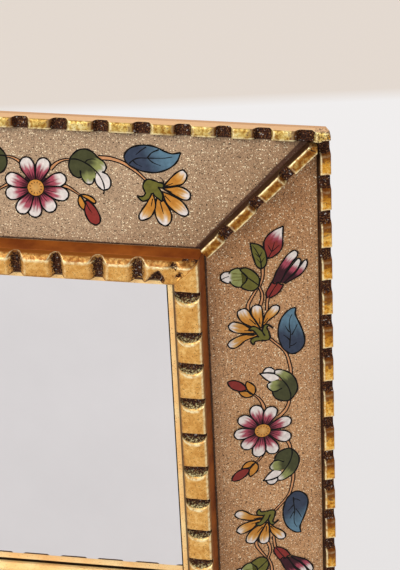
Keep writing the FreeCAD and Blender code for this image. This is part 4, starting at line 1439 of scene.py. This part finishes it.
# Browner along the mirror's side and towards the mitres
JOINT_TINT = (0.66, 0.52, 0.38)
INNER_REACH = (PANEL_INNER, PANEL_INNER + 4)
INNER_TINT = 0.35
MITRE_REACH = (3, 60)
MITRE_TINT = 0.6
# Dark lines where a panel meets the strips and the mouldings: dark joints, with painted shadow at the
# edging's foot
SEAM_BROWN = linear(66, 36, 27)
SEAM_REACH = (4.0, 4.6)
SEAM_DARKNESS = 0.88
INNER_LINE = (PANEL_INNER + 0.6, PANEL_INNER + 1.1)
OUTER_LINE = (PANEL_OUTER - 0.7, PANEL_OUTER - 0.3)
LINE_DARKNESS = 0.9


def fleck_shares(look, cream_share, dark_share):
    """Where the cream and the dark flecks lie: round spots of chance size in some of the cells."""
    cells = add_node(look.tree, "ShaderNodeTexVoronoi", {"Vector": look.place(), "Scale": FLECK_SCALE})
    chance = cells.after("ShaderNodeSeparateColor", {"Color": cells.output("Color")})
    radius = chance.output("Green").span(0.0, 1.0, *FLECK_RADII)
    fleck = (radius - cells.output("Distance")).math("DIVIDE", FLECK_EDGE, clamp=True)
    cream = fleck * chance.output("Red").math("LESS_THAN", cream_share)
    dark = fleck * chance.output("Red").math("GREATER_THAN", 1 - dark_share)
    return cream, dark


def ground_material(name, deep, light, cream_share, dark_share, seam_spread):
    """Panel ground: beige paint strewn with cream and dark flecks, browner at its joints, under glass."""
    look = Look(name)
    outward, apart = look.edges()
    colour = look.noise(GROUND_PATCHES).ramp((0.35, deep), (0.65, light))
    inner = outward.span_mm(*INNER_REACH, INNER_TINT, 0.0)
    mitre = apart.span_mm(*MITRE_REACH, MITRE_TINT, 0.0)
    colour = colour.mix(inner.larger(mitre), JOINT_TINT, "MULTIPLY")
    grain = look.noise(GROUND_GRAIN, detail=2).ramp((0.36, 0.62), (0.64, 1.42))
    colour = colour.mix(GROUND_GRAIN_SHARE, grain, "MULTIPLY")
    cream, dark = fleck_shares(look, cream_share, dark_share)
    colour = colour.mix(cream, FLECK_CREAM).mix(dark, FLECK_DARK)
    spread = outward.span_mm(PANEL_INNER, PANEL_OUTER, 0.0, seam_spread * MM)
    colour = colour.mix((apart - spread).span_mm(*SEAM_REACH, SEAM_DARKNESS, 0.0), SEAM_BROWN)
    inner_line = outward.span_mm(*INNER_LINE, LINE_DARKNESS, 0.0)
    outer_line = outward.span_mm(*OUTER_LINE, 0.0, LINE_DARKNESS)
    colour = colour.mix(inner_line.larger(outer_line), WALL_BROWN)
    return look.finish(Base_Color=colour, **CLEAR_GLASS)


BRUSH_SCALE = 500
PAINT_GRAIN = 2400


def paint_material():
    """The painted shapes: their own colours, a little uneven, under the same clear glass."""
    look = Look("painted_colours")
    shade = look.noise(BRUSH_SCALE, detail=4).ramp((0.3, 0.72), (0.7, 1.0))
    specks = look.noise(PAINT_GRAIN, detail=2).ramp((0.68, 0), (0.74, 0.5))
    colour = look.attribute("paint", "Color").mix(1.0, shade, "MULTIPLY").mix(specks, OUTLINE)
    return look.finish(Base_Color=colour, **CLEAR_GLASS)


CLOUD_SCALE = 25
SILVER_DEEP = (0.76, 0.745, 0.755)
SILVER_LIGHT = (0.79, 0.775, 0.785)
REBATE_SHADOW = (0.012, 0.01, 0.009)
MIRROR_SHADOW_BORDER = (SIGHT - 1.7, SIGHT - 1.6)


def mirror_material():
    """Silvered glass with the faintest cloudiness, and a painted shadow of the rebate along its edge."""
    look = Look("silvering")
    cloud = look.noise(CLOUD_SCALE)
    outward, _ = look.edges()
    tint = cloud.ramp((0.3, SILVER_DEEP), (0.7, SILVER_LIGHT))
    # Painted shadow of the rebate along the mirror's edge
    tint = tint.mix(outward.span_mm(*MIRROR_SHADOW_BORDER), REBATE_SHADOW)
    return look.finish(Base_Color=tint, Metallic=1.0, Roughness=cloud.ramp((0.3, 0.02), (0.7, 0.035)))


# Wood, metal and the rest of the back

GRAIN_ACROSS = 900
GRAIN_ALONG = 40
BROAD_GRAIN = 0.12
DULL_SCALE = 220
DULL_ROUGHNESS = 0.14
SCRATCHES = (3000, 3000, 200)


def wood_material(name, light, dark, along):
    """Straight grain running along one axis."""
    look = Look(name)
    stretch = [GRAIN_ACROSS, GRAIN_ACROSS, GRAIN_ACROSS]
    stretch[along] = GRAIN_ALONG
    grain = look.noise(1.0, detail=4, stretch=stretch)
    broad = look.noise(1.0, detail=3, stretch=[part * BROAD_GRAIN for part in stretch])
    colour = (grain * 0.5 + broad * 0.5).ramp((0.36, dark), (0.62, light))
    normal = grain.bump(strength=0.15, distance=0.0003)
    return look.finish(Base_Color=colour, Roughness=0.55, Normal=normal)


def metal_material(name, light, dark, rough):
    """Plated metal with fine scratches and dull patches."""
    look = Look(name)
    dull = look.noise(DULL_SCALE)
    scratches = look.noise(1.0, detail=2, stretch=SCRATCHES)
    colour = dull.ramp((0.35, dark), (0.62, light))
    roughness = dull.ramp((0.35, rough + DULL_ROUGHNESS), (0.65, rough))
    normal = scratches.bump(strength=0.12, distance=0.0001)
    return look.finish(Base_Color=colour, Metallic=1.0, Roughness=roughness, Normal=normal)


def matt_material(name, light, dark, scale, rough, relief):
    """A matt stuff with an even, fine surface."""
    look = Look(name)
    grain = look.noise(scale, detail=4)
    colour = grain.ramp((0.35, dark), (0.65, light))
    normal = grain.bump(strength=relief, distance=0.0004)
    return look.finish(Base_Color=colour, Roughness=rough, Normal=normal)


def assign(material, *nodes):
    """Give CAD nodes a material in place of their plain one."""
    for name in nodes:
        slots = frame["nodes"][name].data.materials
        slots.clear()
        slots.append(material)


# The front: mouldings, fillets and painted panels

bead_gilt = gilt_material(
    "gilt_bead", linear(204, 146, 70), linear(222, 168, 90), linear(240, 194, 118), TONED_BROWN)
strip_gilt = gilt_material(
    "gilt_strip", linear(122, 74, 20), linear(188, 130, 48), linear(228, 192, 110), WALL_BROWN)
# The level edging's paler, creamier leaf is partly painted light on its upward-facing blocks
across_gilt = gilt_material(
    "gilt_edging_across", linear(150, 104, 36), linear(212, 180, 100), linear(240, 222, 160), BARE_EDGE)
# The upright edging's bare outer wall is darker brown in painted shade
upright_gilt = gilt_material(
    "gilt_edging_upright", linear(152, 88, 20), linear(220, 156, 52), linear(250, 208, 116), SHADED_BARE_EDGE)
across_ground = ground_material(
    "ground_across", linear(163, 136, 109), linear(173, 145, 117),
    cream_share=0.36, dark_share=0.38, seam_spread=2.2)
upright_ground = ground_material(
    "ground_upright", linear(173, 129, 90), linear(185, 141, 100),
    cream_share=0.36, dark_share=0.6, seam_spread=0.0)
fillet_leaf = fillet_material()
spray_paint = paint_material()

# Seeds count on from these, so that no two pieces vary alike
EDGING_SEED = 1
BEAD_SEED = 11
SPRAY_SEED = 21
STRIP_SEED = 31
for i, side in enumerate(SIDES):
    level = side in LEVEL_SIDES
    build_edging(side, across_gilt if level else upright_gilt, EDGING_SEED + i)
    build_bead(side, bead_gilt, BEAD_SEED + i)
    build_sight_fillet(side, fillet_leaf)
    build_painting(side, spray_paint, SPRAY_SEED + i)
    assign(across_ground if level else upright_ground, f"glass_panel_{side}")
for i, corner in enumerate(CORNERS):
    build_mitre_strip(corner, strip_gilt, STRIP_SEED + i)
assign(mirror_material(), "mirror_glass")

# The rails and the back

RAIL_LIGHT = linear(216, 164, 110)
RAIL_DARK = linear(186, 126, 74)
RETAINER_LIGHT = linear(206, 172, 126)
RETAINER_DARK = linear(170, 130, 86)
for way, axis, sides in (("across", 0, LEVEL_SIDES), ("upright", 2, UPRIGHT_SIDES)):
    rail_wood = wood_material(f"rail_wood_{way}", RAIL_LIGHT, RAIL_DARK, axis)
    strip_wood = wood_material(f"strip_wood_{way}", RETAINER_LIGHT, RETAINER_DARK, axis)
    assign(rail_wood, *[f"rail_{side}" for side in sides])
    assign(strip_wood, *[f"retainer_{side}" for side in sides])

felt = matt_material("felt", linear(112, 106, 98), linear(84, 80, 74), scale=1200, rough=0.95, relief=0.6)
board = matt_material("hardboard", linear(134, 96, 62), linear(104, 70, 42), scale=700, rough=0.7, relief=0.4)
rubber = matt_material(
    "bumper_rubber", linear(52, 50, 48), linear(34, 33, 32), scale=900, rough=0.8, relief=0.3)
brass = metal_material("satin_brass", linear(206, 168, 92), linear(160, 122, 60), rough=0.3)
zinc = metal_material("plated_steel", linear(196, 196, 194), linear(150, 150, 148), rough=0.32)
assign(felt, "cushion_sheet")
assign(board, "backing_board")
assign(rubber, "wall_bumpers")
assign(brass, *[f"turn_button_{side}" for side in SIDES])
assign(zinc, "hanger_strap_right", "hanger_strap_left")
build_screws("turn_button_screws", zinc)
build_screws("hanger_screws", zinc)
for side in UPRIGHT_SIDES:
    build_ring(side, zinc)

# Stage, light and camera, in metres

FLOOR_SIZE = 6.0
FLOOR_WHITE = linear(239, 237, 237)
FLOOR_BEIGE = linear(226, 216, 207)
BEIGE_FROM = 0.511
BEIGE_TO = 0.527
BEIGE_SLANT = 0.175
FLOOR_GLOW = 0.7


def floor_material():
    """Pale, warmer towards the back; a glow shows the camera its colour evenly."""
    look = Look("floor_pale")
    axes = look.axes()
    far = (axes.output("Y") - axes.output("X") * BEIGE_SLANT).span(BEIGE_FROM, BEIGE_TO)
    colour = far.ramp((0, FLOOR_WHITE), (1, FLOOR_BEIGE))
    rays = add_node(look.tree, "ShaderNodeLightPath")
    share = rays.output("Is Camera Ray").larger(rays.output("Is Glossy Ray")) * FLOOR_GLOW
    glow = add_node(look.tree, "ShaderNodeEmission", {"Color": colour})
    surface = Value(look.shader.outputs[0])
    both = add_node(look.tree, "ShaderNodeMixShader", {0: share, 1: surface, 2: glow})
    feed(look.tree.nodes["Material Output"].inputs["Surface"], both)
    return look.finish(Base_Color=colour, Roughness=0.9)


def build_floor():
    """A floor under the frame."""
    bm = bmesh.new()
    bmesh.ops.create_grid(bm, x_segments=1, y_segments=1, size=FLOOR_SIZE / 2)
    mesh = bpy.data.meshes.new("floor")
    bm.to_mesh(mesh)
    bm.free()
    mesh.materials.append(floor_material())
    floor = bpy.data.objects.new("floor", mesh)
    floor.location.z = cad_box[0].z
    bpy.context.scene.collection.objects.link(floor)


def add_lamp(name, place, energy, size, colour):
    """A square lamp that shines at the middle of the frame."""
    lamp = bpy.data.lights.new(name, "AREA")
    lamp.energy = energy
    lamp.size = size
    lamp.color = colour
    holder = bpy.data.objects.new(name, lamp)
    holder.location = place
    holder.rotation_euler = (-Vector(place)).to_track_quat("-Z", "Y").to_euler()
    bpy.context.scene.collection.objects.link(holder)


WORLD_COLOUR = (1.0, 0.99, 0.98, 1)
WORLD_STRENGTH = 0.62


def set_world():
    """Even light from all round."""
    world = bpy.data.worlds.new("studio")
    bpy.context.scene.world = world
    world.use_nodes = True
    background = world.node_tree.nodes["Background"].inputs
    background["Color"].default_value = WORLD_COLOUR
    background["Strength"].default_value = WORLD_STRENGTH


# The camera's place round a point on the panels' inner level, as the photograph's perspective gives it
CAMERA_TARGET = Vector((54.1, SEAT_Y, 88.6)) * MM
CAMERA_DISTANCE = 1.0634
CAMERA_ELEVATION = 0.597
CAMERA_SWING = 0.205
CAMERA_ROLL = -0.0580
FOCAL_PIXELS = 2494.9
PRINCIPAL_POINT = (163.96, 267.74)
PICTURE = (400, 570)
SENSOR = 36.0


def build_camera():
    """The camera, with its picture shifted to the photograph's principal point."""
    back = Vector((
        math.sin(CAMERA_SWING) * math.cos(CAMERA_ELEVATION),
        -math.cos(CAMERA_SWING) * math.cos(CAMERA_ELEVATION),
        math.sin(CAMERA_ELEVATION),
    ))
    level = Vector((0, 0, 1)).cross(back).normalized()
    upright = back.cross(level)
    right = level * math.cos(CAMERA_ROLL) + upright * math.sin(CAMERA_ROLL)
    up = upright * math.cos(CAMERA_ROLL) - level * math.sin(CAMERA_ROLL)
    data = bpy.data.cameras.new("camera")
    data.sensor_width = SENSOR
    data.lens = FOCAL_PIXELS * SENSOR / PICTURE[1]
    data.shift_x = (PICTURE[0] / 2 - PRINCIPAL_POINT[0]) / PICTURE[1]
    data.shift_y = (PRINCIPAL_POINT[1] - PICTURE[1] / 2) / PICTURE[1]
    camera = bpy.data.objects.new("camera", data)
    turn = Matrix((right, up, back)).transposed().to_4x4()
    camera.matrix_world = Matrix.Translation(CAMERA_TARGET + back * CAMERA_DISTANCE) @ turn
    bpy.context.scene.collection.objects.link(camera)
    bpy.context.scene.camera = camera


build_floor()
add_lamp("key", (-0.9, -1.3, 1.4), energy=26, size=0.9, colour=(1, 0.97, 0.93))
add_lamp("back_fill", (0.8, 1.4, 1.2), energy=10, size=1.2, colour=(1, 1, 1))
set_world()
build_camera()
bpy.context.scene.view_settings.view_transform = "Standard"
